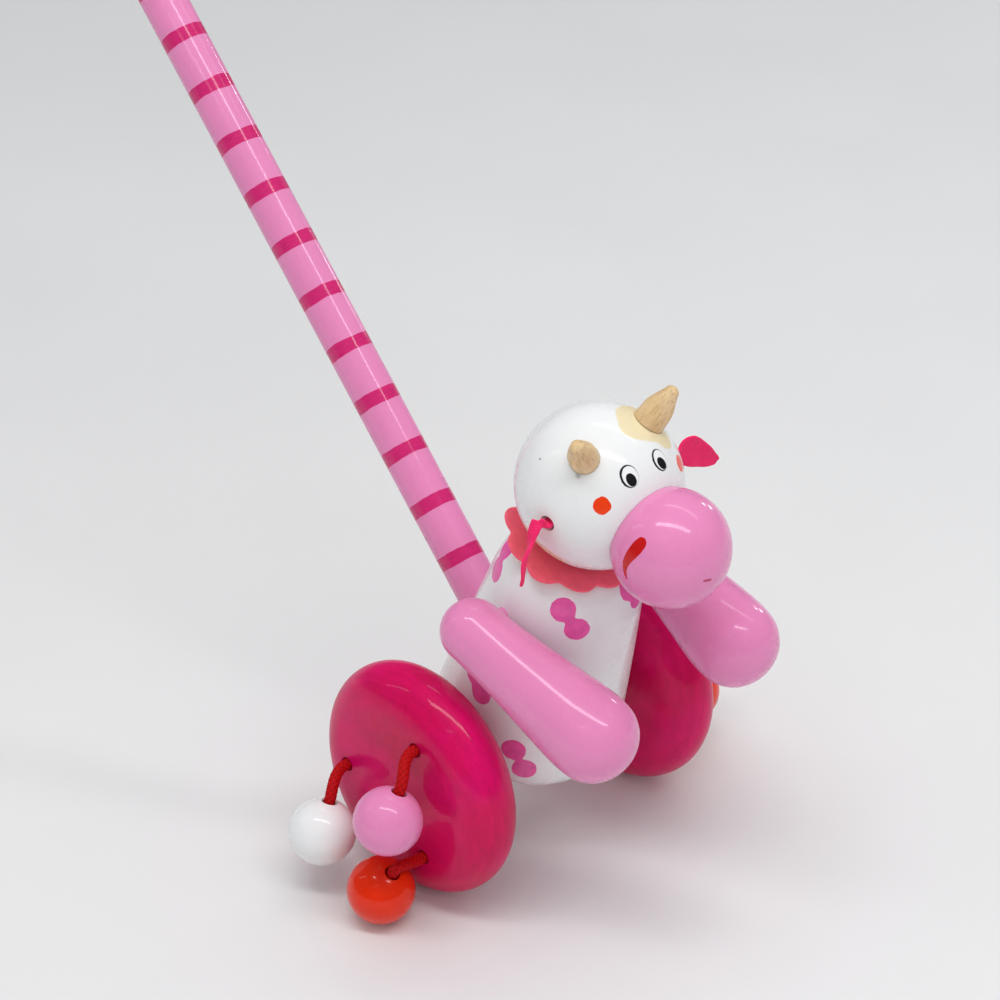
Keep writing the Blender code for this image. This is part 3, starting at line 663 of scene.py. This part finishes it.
def body_profile():
    shoulder = [BODY_TOP - (BODY_TOP - BODY_SHOULDER) * (i / 20) ** 1.8 for i in range(21)]
    side = [BODY_SHOULDER - (BODY_SHOULDER - BODY_WIDEST) * i / 30 for i in range(1, 31)]
    belly = [BODY_WIDEST + (BODY_BOTTOM - BODY_WIDEST) * math.sin(math.pi / 2 * i / 28) for i in range(1, 29)]
    return [(0, BODY_TOP)] + [(body_radius(h), h) for h in shoulder + side + belly] + [(0, BODY_BOTTOM)]


def make_body():
    body = turned("cow_body", body_profile(), BODY_FRAME, 144)
    rod_mouth = ROD_FRAME @ Vector((0, 0, ROD_LEAVES_BODY))
    rod_hole = drill(ROD_RADIUS + GAP, rod_mouth, ROD_FRAME @ Vector((0, 0, ROD_START - GAP)), 0.0, 64)
    reach = Vector((BODY_RADIUS * 1.3, 0, 0))
    bore = drill(radius_of("axle_dowel") + GAP, AXLE + reach, AXLE - reach, 0.0)
    cut(body, rod_hole, bore)
    material = paint("white_body_paint", WHITE, 0.02, body_marks, texture=0.15)
    place_piece(body, "cow", material, "body")


def make_head():
    """The head ball, flat on the collar and at the muzzle, with ear holes and horn seats."""
    down = BODY_FRAME.to_3x3() @ Vector((0, 0, -1))
    seat = BODY_FRAME @ Vector((0, 0, BODY_TOP + COLLAR_THICKNESS + 2 * GAP))
    axis, joint = muzzle_joint()
    head = ball("cow_head", HEAD_RADIUS, HEAD_FRAME, 97, 160)
    cutters = [slab(seat, down), slab(joint - axis * SEAM, axis)]
    for side in SIDES:
        ear = HEAD_TURNED @ EAR_DIRECTIONS[side]
        surface = HEAD_CENTRE + ear * (HEAD_RADIUS - 0.0001)
        cutters.append(drill(EAR_HOLE_RADIUS, surface, surface - ear * EAR_HOLE_DEPTH, 0.0003))
        horn = HEAD_TURNED @ HORN_DIRECTIONS[side]
        surface = HEAD_CENTRE + horn * (HEAD_RADIUS - 0.0003)
        cutters.append(drill(HORN_RADIUS[side] + 0.0002, surface, surface - horn * HORN_SEAT_DEPTH, 0.0))
    cut(head, *cutters)
    material = paint("white_head_paint", WHITE, 0.015, head_marks, texture=0.15)
    place_piece(head, "cow", material, "head_ball")


def muzzle_joint():
    """(the way from the head's centre to the muzzle's, the middle of the flat circle where they meet)"""
    axis = HEAD_TURNED @ MUZZLE_AXIS
    ahead = (MUZZLE_DISTANCE**2 + HEAD_RADIUS**2 - MUZZLE_RADIUS**2) / (2 * MUZZLE_DISTANCE)
    return axis, HEAD_CENTRE + axis * ahead


def make_muzzle():
    axis, joint = muzzle_joint()
    place = Matrix.Translation(HEAD_CENTRE + axis * MUZZLE_DISTANCE) @ HEAD_TURNED.to_4x4()
    muzzle = ball("cow_muzzle", MUZZLE_RADIUS, place, 81, 144)
    cut(muzzle, slab(joint + axis * SEAM, -axis))
    material = paint("pink_muzzle_paint", PINK, 0.03, muzzle_marks)
    place_piece(muzzle, "cow", material, "muzzle_ball")


def make_horn(side, material):
    """A blunt cone that swells a little above its seat, whittled not quite round, on a short tenon."""
    outward = HEAD_TURNED @ HORN_DIRECTIONS[side]
    root, wide = HEAD_CENTRE + outward * HEAD_RADIUS, HORN_RADIUS[side]
    profile = [(0, HORN_LENGTH)] + arc((0, HORN_LENGTH - HORN_TIP), (HORN_TIP, HORN_TIP), 78, 30, 8)
    for i in range(25):
        along = 1 - i / 24
        height = 0.0004 + (HORN_LENGTH - HORN_TIP - 0.0004) * along
        profile.append((HORN_TIP + (wide - HORN_TIP) * (1 - along**2.0), height))
    profile += [(wide, -0.0004), (HORN_TENON_RADIUS, -0.0005), (HORN_TENON_RADIUS, -HORN_TENON_LENGTH)]
    horn = turned(f"cow_horn_{side}", profile + [(0, -HORN_TENON_LENGTH)], frame_along(root, outward), 72)
    for vert in horn.data.vertices:
        rise = max(0.0, vert.co.z) / HORN_LENGTH
        push = noise.noise(vert.co * 190 + Vector((3.0 * SIDES[side], 0, 0))) * 0.00045 * min(1.0, rise * 3)
        vert.co.x += vert.co.x / wide * push
        vert.co.y += vert.co.y / wide * push
    place_piece(horn, "cow", material, f"horn_{side}")


def make_rod(striped):
    """The rod, with a small round at each end."""
    inner = ROD_RADIUS - ROD_EDGE
    edge = [(inner + ROD_EDGE * math.sin(a), ROD_EDGE * (1 - math.cos(a))) for a in EDGE_ANGLES]
    profile = [(0, ROD_LENGTH)] + [(radius, ROD_LENGTH - height) for radius, height in reversed(edge)]
    for i in range(1, 60):
        profile.append((ROD_RADIUS, ROD_LENGTH - ROD_EDGE - (ROD_LENGTH - 2 * ROD_EDGE) * i / 60))
    profile += edge + [(0, 0)]
    shifted = [(radius, height + ROD_START) for radius, height in profile]
    rod = turned("striped_push_rod", shifted, ROD_FRAME, 96)
    place_piece(rod, "cow", striped, "push_rod")


def make_knob(magenta):
    """The ball on the rod's top end, with a flat top and a blind hole for the rod."""
    along = ROD_START + ROD_LENGTH - KNOB_DEPTH_ON_ROD + KNOB_RADIUS * 0.86
    low = math.degrees(math.acos((ROD_RADIUS + 0.0025) / KNOB_RADIUS))
    high = math.degrees(math.acos(KNOB_FLAT_RADIUS / KNOB_RADIUS))
    rounded = arc((0, 0), (KNOB_RADIUS, KNOB_RADIUS), high, -low, 60)
    place = ROD_FRAME @ Matrix.Translation((0, 0, along))
    knob = turned("handle_knob", [(0, rounded[0][1])] + rounded + [(0, rounded[-1][1])], place, 112)
    below = place @ Vector((0, 0, rounded[-1][1]))
    top = ROD_FRAME @ Vector((0, 0, ROD_START + ROD_LENGTH + GAP))
    cut(knob, drill(ROD_RADIUS + GAP, below, top, 0.0003, 64))
    place_piece(knob, "cow", magenta, "rod_knob")


# Wheels, axle and arms


def make_wheel(side, magenta):
    """A thick wheel with a rounded rim, a blind hole for the axle and three for the cords."""
    sign = SIDES[side]
    outward = Vector((sign, 0, 0))
    low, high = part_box(f"wheel_{side}")
    centre, half = (low + high) / 2, (high.x - low.x) / 2
    rim = arc((WHEEL_FLAT_RADIUS, 0), (radius_of(f"wheel_{side}") - WHEEL_FLAT_RADIUS, half), 90, -90, 61)
    inner_face = [(WHEEL_FLAT_RADIUS * share, -half) for share in (0.8, 0.5, 0.25)]
    outer_face = [(r, half) for r, _ in reversed(inner_face)]
    profile = [(0, half)] + outer_face + rim + inner_face + [(0, -half)]
    wheel = turned(f"round_wheel_{side}", profile, frame_along(centre, outward), 160)
    axle_low, axle_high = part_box("axle_dowel")
    axle_end = Vector((axle_high.x if sign > 0 else axle_low.x, centre.y, centre.z)) + outward * GAP
    cutters = [drill(radius_of("axle_dowel") + GAP, centre - outward * half, axle_end)]
    for colour in BEADS[side]:
        mouth = PIVOTS[f"{side}_{colour}_swing"]
        bottom = mouth - outward * (CORD_DEPTH_IN_WHEEL + GAP)
        cutters.append(drill(CORD_HOLE_RADIUS, mouth, bottom, 0.0005))
    cut(wheel, *cutters)
    place_piece(wheel, "wheel_set", magenta, f"wheel_{side}")


def make_washer(side, white):
    """The spacer between wheel and body, a ring with a rounded outer edge."""
    node = f"washer_{side}"
    low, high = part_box(node)
    half, outer, round_off = (high.x - low.x) / 2, radius_of(node), 0.0006
    hole = radius_of("axle_dowel") + GAP
    edge = arc((outer - round_off, half - round_off), (round_off, round_off), 90, 0, 6)
    edge += arc((outer - round_off, round_off - half), (round_off, round_off), 0, -90, 6)
    profile = [(hole, half)] + edge + [(hole, -half), (hole, half)]
    washer = turned(f"spacer_{side}", profile, frame_along(middle_of(node), (SIDES[side], 0, 0)), 72)
    bm = bmesh.new()
    bm.from_mesh(washer.data)
    bmesh.ops.remove_doubles(bm, verts=bm.verts, dist=1e-6)
    bm.to_mesh(washer.data)
    bm.free()
    place_piece(washer, "wheel_set", white, node)


def make_axle(wood):
    low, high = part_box("axle_dowel")
    radius, length, bevel = radius_of("axle_dowel"), high.x - low.x, 0.0004
    profile = [(0, length), (radius - bevel, length), (radius, length - bevel), (radius, bevel)]
    profile += [(radius - bevel, 0), (0, 0)]
    axle = turned("wheel_axle", profile, frame_along((low.x, AXLE.y, AXLE.z), (1, 0, 0)), 64)
    place_piece(axle, "wheel_set", wood, "axle_dowel")


def make_arm(side, pink):
    """A drumstick that flares from the shoulder's round end to the ball of the hand."""
    sign = SIDES[side]
    shoulder = AXLE + Vector((sign * SHOULDER_X, SHOULDER_Y, SHOULDER_Z))
    forward = Vector((-sign * math.sin(ARM_TOE_IN), -math.cos(ARM_TOE_IN), 0))
    hand = arc((0, ARM_LENGTH), (ARM_HAND_RADIUS, ARM_HAND_RADIUS), 90, 12, 32)
    hand[0] = (0, ARM_LENGTH + ARM_HAND_RADIUS)
    upper = []
    for i in range(1, 36):
        along = 1 - i / 36
        grown = (ARM_HAND_RADIUS - ARM_SHOULDER_RADIUS) * along**ARM_FLARE
        upper.append((ARM_SHOULDER_RADIUS + grown, ARM_LENGTH * along))
    round_end = arc((0, 0), (ARM_SHOULDER_RADIUS, ARM_SHOULDER_RADIUS), 0, -90, 28)
    round_end[-1] = (0, -ARM_SHOULDER_RADIUS)
    drop = Matrix.Rotation(ARM_DROP[side], 4, "X")
    place = frame_along(shoulder, drop @ forward)
    arm = turned(f"cow_arm_{side}", soften(hand + upper) + round_end, place, 128)
    low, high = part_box(f"arm_pin_{side}")
    inner, outer = (high.x, low.x) if sign < 0 else (low.x, high.x)
    start = Vector((inner, shoulder.y, shoulder.z))
    end = Vector((outer + sign * GAP, shoulder.y, shoulder.z))
    cut(arm, drill(radius_of(f"arm_pin_{side}") + GAP, start, end, 0.0))
    place_piece(arm, f"{side}_arm", pink, f"arm_{side}")


def soften(profile):
    """The profile with the bend between hand and upper arm eased, so that its gloss shows no line."""
    eased = [list(point) for point in profile]
    for _ in range(24):
        before = [list(point) for point in eased]
        for i in range(20, len(eased) - 12):
            for k in (0, 1):
                eased[i][k] = 0.25 * before[i - 1][k] + 0.5 * before[i][k] + 0.25 * before[i + 1][k]
    return [tuple(point) for point in eased]


# Beads and cords


def bead_place(side, colour):
    """(cord hole's mouth, outward direction, bead's centre, the way from its centre to its own hole)"""
    offset, way_in = BEADS[side][colour]
    outward = Vector((SIDES[side], 0, 0))
    mouth = PIVOTS[f"{side}_{colour}_swing"]
    centre = mouth + outward * offset[0] + Vector((0, offset[1], offset[2]))
    return mouth, outward, centre, Vector((way_in[0] * SIDES[side], way_in[1], way_in[2])).normalized()


def make_bead(side, colour, material):
    _, _, centre, way_in = bead_place(side, colour)
    bottom = BEAD_RADIUS - CORD_DEPTH_IN_BEAD - GAP
    lip = 0.0004
    edge = math.degrees(math.acos((CORD_HOLE_RADIUS + lip) / BEAD_RADIUS))
    top = BEAD_RADIUS * math.sin(math.radians(edge))
    profile = [(0, bottom), (CORD_HOLE_RADIUS, bottom)]
    profile += [(CORD_HOLE_RADIUS, top - 0.0010), (CORD_HOLE_RADIUS + 0.0001, top - 0.0004)]
    profile += arc((0, 0), (BEAD_RADIUS, BEAD_RADIUS), edge, -90, 64)
    profile[-1] = (0, -BEAD_RADIUS)
    bead = turned(f"round_bead_{colour}_{side}", profile, frame_along(centre, way_in), 112)
    place_piece(bead, f"{side}_{colour}_bead", material, f"bead_{colour}_{side}")


def cord_line(side, colour):
    """The cord's centreline: out of the wheel, over in one bend, and down into the bead."""
    mouth, outward, centre, way_in = bead_place(side, colour)
    entry = centre + way_in * (BEAD_RADIUS + CORD_LEAD)
    start = mouth + outward * CORD_LEAD
    reach = (entry - start).length * CORD_BEND
    handles = (start, start + outward * reach, entry + way_in * reach, entry)
    inside = mouth - outward * CORD_DEPTH_IN_WHEEL
    points = [inside.lerp(start, i / 36) for i in range(36)]
    for i in range(81):
        t = i / 80
        weights = ((1 - t) ** 3, 3 * t * (1 - t) ** 2, 3 * t * t * (1 - t), t**3)
        points.append(sum((w * h for w, h in zip(weights, handles)), Vector()))
    end = centre - way_in * (CORD_DEPTH_IN_BEAD - BEAD_RADIUS)
    return points + [entry.lerp(end, i / 50) for i in range(1, 51)]


def even(points):
    """(the same line with points about CORD_STEP apart, its length)"""
    line = np.array([tuple(p) for p in points])
    along = np.concatenate([[0], np.cumsum(np.linalg.norm(np.diff(line, axis=0), axis=1))])
    at = np.linspace(0, along[-1], int(along[-1] / CORD_STEP) + 1)
    return [Vector([float(np.interp(a, along, line[:, k])) for k in range(3)]) for a in at], float(along[-1])


def strand_height(turn, along):
    """How high a round braid stands, from 0 to 1, at a share of a turn and a length along the cord."""
    a, b = CORD_STRANDS * (turn + along / CORD_PITCH), CORD_STRANDS * (turn - along / CORD_PITCH)
    over = math.cos(math.pi * math.floor(a)) * math.cos(math.pi * math.floor(b))
    first = math.sqrt(max(0.0, 1 - (2 * (a % 1) - 1) ** 2))
    second = math.sqrt(max(0.0, 1 - (2 * (b % 1) - 1) ** 2))
    return max(first * (0.72 + 0.28 * over), second * (0.72 - 0.28 * over))


def make_cord(side, colour, material):
    """Rings round the cord's line, which stand in and out with the braid's strands."""
    line, length = even(cord_line(side, colour))
    last = len(line) - 1
    tangents = [(line[min(i + 1, last)] - line[max(i - 1, 0)]).normalized() for i in range(len(line))]
    heights, points = [], []
    side_way = tangents[0].cross(Vector((0, 0, 1))).normalized()
    for i, (point, tangent) in enumerate(zip(line, tangents)):
        side_way = (side_way - tangent * side_way.dot(tangent)).normalized()
        other = tangent.cross(side_way)
        for k in range(CORD_SIDES):
            turn = k / CORD_SIDES
            height = strand_height(turn, i * CORD_STEP)
            radius = CORD_RADIUS - CORD_RELIEF * (1 - height)
            angle = 2 * math.pi * turn
            points.append(point + (side_way * math.cos(angle) + other * math.sin(angle)) * radius)
            heights.append(height)
    faces = []
    for i in range(last):
        for k in range(CORD_SIDES):
            a, b = i * CORD_SIDES + k, i * CORD_SIDES + (k + 1) % CORD_SIDES
            faces.append((a, b, b + CORD_SIDES, a + CORD_SIDES))
    faces += [tuple(range(CORD_SIDES - 1, -1, -1)), tuple(last * CORD_SIDES + k for k in range(CORD_SIDES))]
    name = f"braided_cord_{colour}_{side}"
    mesh = bpy.data.meshes.new(name)
    mesh.from_pydata(points, [], faces)
    mesh.attributes.new("strand", "FLOAT", "POINT").data.foreach_set("value", heights)
    smooth(mesh, 70)
    cord = add_object(name, mesh, Matrix.Identity(4))
    place_piece(cord, f"{side}_{colour}_bead", material, f"cord_{colour}_{side}")


# Felt ears and collar


def ear_route(side):
    """The ear's middle line in the head's frame, from hole to tip, and the ways it is wide at each end."""
    sign = SIDES[side]
    outward = EAR_DIRECTIONS[side]
    root = outward * HEAD_RADIUS
    if side == "right":
        over = root + Vector((sign * 0.0040, 0.0002, 0.0024))
        tip = root + Vector((sign * 0.0096, 0.0036, -0.0226))
        middle = over.lerp(tip, 0.42) + Vector((sign * 0.0012, 0, 0))
        wide = Vector((0.73, -0.69, 0)), Vector((-0.75, -0.66, 0.05))
    else:
        over = root + Vector((sign * 0.0062, 0, 0.0004))
        tip = root + Vector((sign * 0.0234, 0.0010, -0.0130))
        middle = over.lerp(tip, 0.5) + Vector((0, 0, -0.0002))
        wide = Vector((0.40, -0.15, 0.90)), Vector((0.40, -0.15, 0.90))
    return [root - outward * 0.0055, root + outward * 0.0020, over, middle, tip], wide


def ease(share):
    """The share, held between 0 and 1, with a soft start and end."""
    held = min(1.0, max(0.0, share))
    return held * held * (3 - 2 * held)


def smooth_line(points):
    """EAR_ROWS points on a smooth curve through the given ones."""
    ends = [2 * points[0] - points[1]] + points + [2 * points[-1] - points[-2]]
    line = []
    for i in range(EAR_ROWS):
        place = (len(points) - 1) * i / (EAR_ROWS - 1)
        k = min(int(place), len(points) - 2)
        t = place - k
        a, b, c, d = ends[k : k + 4]
        squared, cubed = (2 * a - 5 * b + 4 * c - d) * t**2, (3 * b - a - 3 * c + d) * t**3
        line.append(0.5 * (2 * b + (c - a) * t + squared + cubed))
    return line


def grid_object(name, rows, place, thickness, closed=False):
    """A felt sheet through rows of points, given its thickness and soft rounded edges."""
    bm = bmesh.new()
    verts = [[bm.verts.new(p) for p in row] for row in rows]
    for row, following in zip(verts, verts[1:]):
        for k in range(len(row) - (0 if closed else 1)):
            j = (k + 1) % len(row)
            bm.faces.new((row[k], row[j], following[j], following[k]))
    obj = add_object(name, mesh_from(name, bm), place)
    thicken = obj.modifiers.new("felt", "SOLIDIFY")
    thicken.thickness = thickness
    thicken.offset = 0
    divide = obj.modifiers.new("soft", "SUBSURF")
    divide.levels = divide.render_levels = 2
    apply_modifiers(obj)
    obj.data.shade_smooth()
    return obj


def ear_width(side, i):
    """Half the ear's width at row i: rolled narrow, then a leaf from where it opens to its tip."""
    if i == EAR_ROWS - 1:
        return EAR_TIP_HALF
    opens = EAR_OPENS_AT[side]
    reach = max(0.0, (i - opens) / (EAR_ROWS - 1 - opens))
    if side == "right":
        leaf = math.sin(math.pi * min(1.0, reach) ** 0.85) ** 0.7
    else:
        leaf = min(1.0, 3.2 * reach) ** 0.8 * (1 - reach**2.2) ** 0.6
    return max(EAR_ROLLED_HALF, 0.5 * EAR_WIDTH * leaf)


def make_ear(side, material):
    """A felt leaf along its route, a little cupped and rippled. The right one twists on its way."""
    route, wide = ear_route(side)
    line = smooth_line(route)
    rows, area, length = [], 0.0, 0.0
    for i, point in enumerate(line):
        along = line[min(i + 1, EAR_ROWS - 1)] - line[max(i - 1, 0)]
        across = wide[0].lerp(wide[1], ease((i / (EAR_ROWS - 1) - EAR_TWIST_START) / EAR_TWIST_LENGTH))
        across = (across - along * (across.dot(along) / along.length_squared)).normalized()
        half = ear_width(side, i)
        step = (point - line[i - 1]).length if i else 0.0
        area += step * 2 * half
        length += step
        cup = along.cross(across).normalized()
        ripple = 0.0004 * math.sin(i * 0.9)
        row = []
        for s in (-1, -0.6, -0.2, 0.2, 0.6, 1):
            row.append(point + across * half * s + cup * (half * 0.10 * (s * s) + ripple * s))
        rows.append(row)
    ear = grid_object(f"felt_ear_{side}", rows, HEAD_FRAME, EAR_THICKNESS)
    place_piece(ear, "cow", material, f"ear_{side}")


def make_collar(material):
    """A scalloped felt disc pressed between body and head, nearly flat, that curls up a little behind."""
    steps, rings = COLLAR_LOBES * 8, 9
    inner = NECK_DOWEL_RADIUS + GAP
    rows = []
    for ring in range(rings):
        share = ring / (rings - 1)
        row = []
        for i in range(steps):
            angle = 2 * math.pi * i / steps
            lobe = COLLAR_LOBE_DEPTH * (1 - abs(math.sin((angle - COLLAR_TURN) * COLLAR_LOBES / 2)) ** 0.65)
            way = Vector((math.cos(angle), math.sin(angle), 0))
            point = (way * inner).lerp(COLLAR_SHIFT + way * (COLLAR_RADIUS - lobe), share)
            over = max(0.0, point.length - BODY_TOP_RADIUS) / (COLLAR_RADIUS - BODY_TOP_RADIUS)
            behind = 0.5 + 0.5 * math.sin(angle)
            point.z = (0.0031 * behind**2 - 0.0004 * (1 - behind)) * over**2
            point.z += 0.0006 * over * math.sin(5 * angle + 0.7)
            row.append(point)
        rows.append(row)
    place = BODY_FRAME @ Matrix.Translation((0, 0, BODY_TOP + GAP + COLLAR_THICKNESS / 2))
    collar = grid_object("felt_scalloped_collar", rows, place, COLLAR_THICKNESS, True)
    place_piece(collar, "cow", material, "felt_collar")


# Floor, light and camera


def make_floor():
    """Pale seamless paper, with painted light: a little darker far from the toy."""
    bm = bmesh.new()
    bmesh.ops.create_grid(bm, x_segments=4, y_segments=4, size=12)
    floor = add_object("studio_floor", mesh_from("studio_floor", bm), Matrix.Identity(4))
    net = Net("floor_paper", stored=False)
    # Painted light: the paper is lighter round the toy and falls off a little further away.
    light_falloff = net.span(net.distance((0.10, -0.05, 0)), 0.15, 1.6)
    soft = net.span(net.noise(7.0, 3.0), 0.3, 0.7, 0.99, 1.01)
    colour = net.shade(net.mix(light_falloff, (0.80, 0.80, 0.80, 1), (0.76, 0.77, 0.77, 1)), soft)
    net.use(Base_Color=colour, Roughness=0.6, Normal=net.bump(net.noise(900.0, 3.0), 0.0001, 0.2))
    floor.data.materials.append(net.material)


def area_light(name, place, size, radiance, aim):
    data = bpy.data.lights.new(name, "AREA")
    data.shape = "RECTANGLE"
    data.size, data.size_y = size
    data.energy = radiance * math.pi * size[0] * size[1]
    light = bpy.data.objects.new(name, data)
    turn = (Vector(aim) - Vector(place)).normalized().to_track_quat("-Z", "Y")
    light.matrix_world = Matrix.Translation(place) @ turn.to_matrix().to_4x4()
    bpy.context.scene.collection.objects.link(light)
    return light


def tube(name, start, end, width, radiance):
    """A ceiling tube. start and end are (X, Y) shares of its height."""
    a = AXLE + Vector((start[0], start[1], 1)) * TUBE_HEIGHT
    b = AXLE + Vector((end[0], end[1], 1)) * TUBE_HEIGHT
    middle = (a + b) / 2
    light = area_light(name, middle, ((b - a).length, width), radiance, middle - Vector((0, 0, 1)))
    light.rotation_euler = Euler((0, 0, math.atan2(b.y - a.y, b.x - a.x)))


def make_light():
    """Ceiling tubes, two lamps and two soft fills. Reflections see a much darker sky."""
    tube("tube_main", (-0.46, 0.20), (0.14, -0.80), 0.20, 10.5)
    tube("tube_beside", (0.26, 0.45), (0.74, -0.46), 0.16, 3.8)
    tube("tube_behind", (-1.24, 2.10), (-0.69, 0.74), 0.12, 4.0)
    tube("tube_left", (-1.05, -0.30), (-0.66, -0.44), 0.07, 4.0)
    for name, elevation in (("lamp_upper", 17.0), ("lamp_lower", 7.0)):
        place = HEAD_CENTRE + direction(101.0, elevation) * 1.5
        area_light(name, place, (0.10, 0.07), 22.0, HEAD_CENTRE)
    fill = area_light("soft_fill", AXLE + Vector((0.35, -0.1, 1.9)), (2.2, 2.2), 0.42, AXLE)
    front = area_light("front_fill", AXLE + Vector((-0.9, -0.95, 0.75)), (1.4, 1.4), 0.48, AXLE)
    for light in (fill, front):
        light.visible_glossy = False
    world = bpy.data.worlds.new("studio")
    world.use_nodes = True
    nodes, links = world.node_tree.nodes, world.node_tree.links
    ray = nodes.new("ShaderNodeLightPath")
    blend = nodes.new("ShaderNodeMix")
    blend.data_type = "RGBA"
    blend.inputs[6].default_value = (0.47, 0.48, 0.49, 1)
    blend.inputs[7].default_value = (0.05, 0.05, 0.055, 1)
    links.new(ray.outputs["Is Glossy Ray"], blend.inputs[0])
    links.new(blend.outputs[2], nodes["Background"].inputs["Color"])
    bpy.context.scene.world = world
    bpy.context.scene.view_settings.view_transform = "Standard"


def make_camera():
    data = bpy.data.cameras.new("camera")
    data.lens = CAMERA_LENS
    data.sensor_width = 36.0
    camera = bpy.data.objects.new("camera", data)
    turn = Matrix((CAMERA_RIGHT, CAMERA_UP, CAMERA_BACK)).transposed()
    place = AXLE + radius_of("wheel_left") * CAMERA_PLACE
    camera.matrix_world = Matrix.Translation(place) @ turn.to_4x4()
    bpy.context.scene.collection.objects.link(camera)
    bpy.context.scene.camera = camera


def make_toy():
    white = paint("white_paint", WHITE, 0.02, texture=0.4)
    pink = paint("pink_paint", PINK, 0.04)
    striped = paint("striped_pink_paint", PINK, 0.04, rod_marks, (1, 1, 0.05))
    magenta = stained_wood("magenta_stain", MAGENTA)
    orange = paint("orange_paint", ORANGE, 0.05)
    wood = bare_wood("bare_wood")
    dowel = bare_wood("bare_dowel", stored=False)
    hot_pink, coral = felt("hot_pink_felt", HOT_PINK), felt("coral_felt", CORAL)
    red = braid("red_braid")
    for side in SIDES:
        for colour, finish in (("white", white), ("pink", pink), ("orange", orange)):
            make_cord(side, colour, red)
            make_bead(side, colour, finish)
    make_body()
    make_head()
    make_muzzle()
    make_rod(striped)
    make_knob(magenta)
    make_axle(wood)
    make_collar(coral)
    for side in SIDES:
        make_wheel(side, magenta)
        make_washer(side, white)
        make_arm(side, pink)
        make_horn(side, wood)
        make_ear(side, hot_pink)
    pin = paint("pink_pin_paint", PINK, 0.04, stored=False)
    hidden = {"neck_dowel": dowel, "muzzle_dowel": dowel, "arm_pin_right": pin, "arm_pin_left": pin}
    for name, material in hidden.items():
        frame["nodes"][name].data.materials.clear()
        frame["nodes"][name].data.materials.append(material)


make_camera()
make_toy()
make_floor()
make_light()
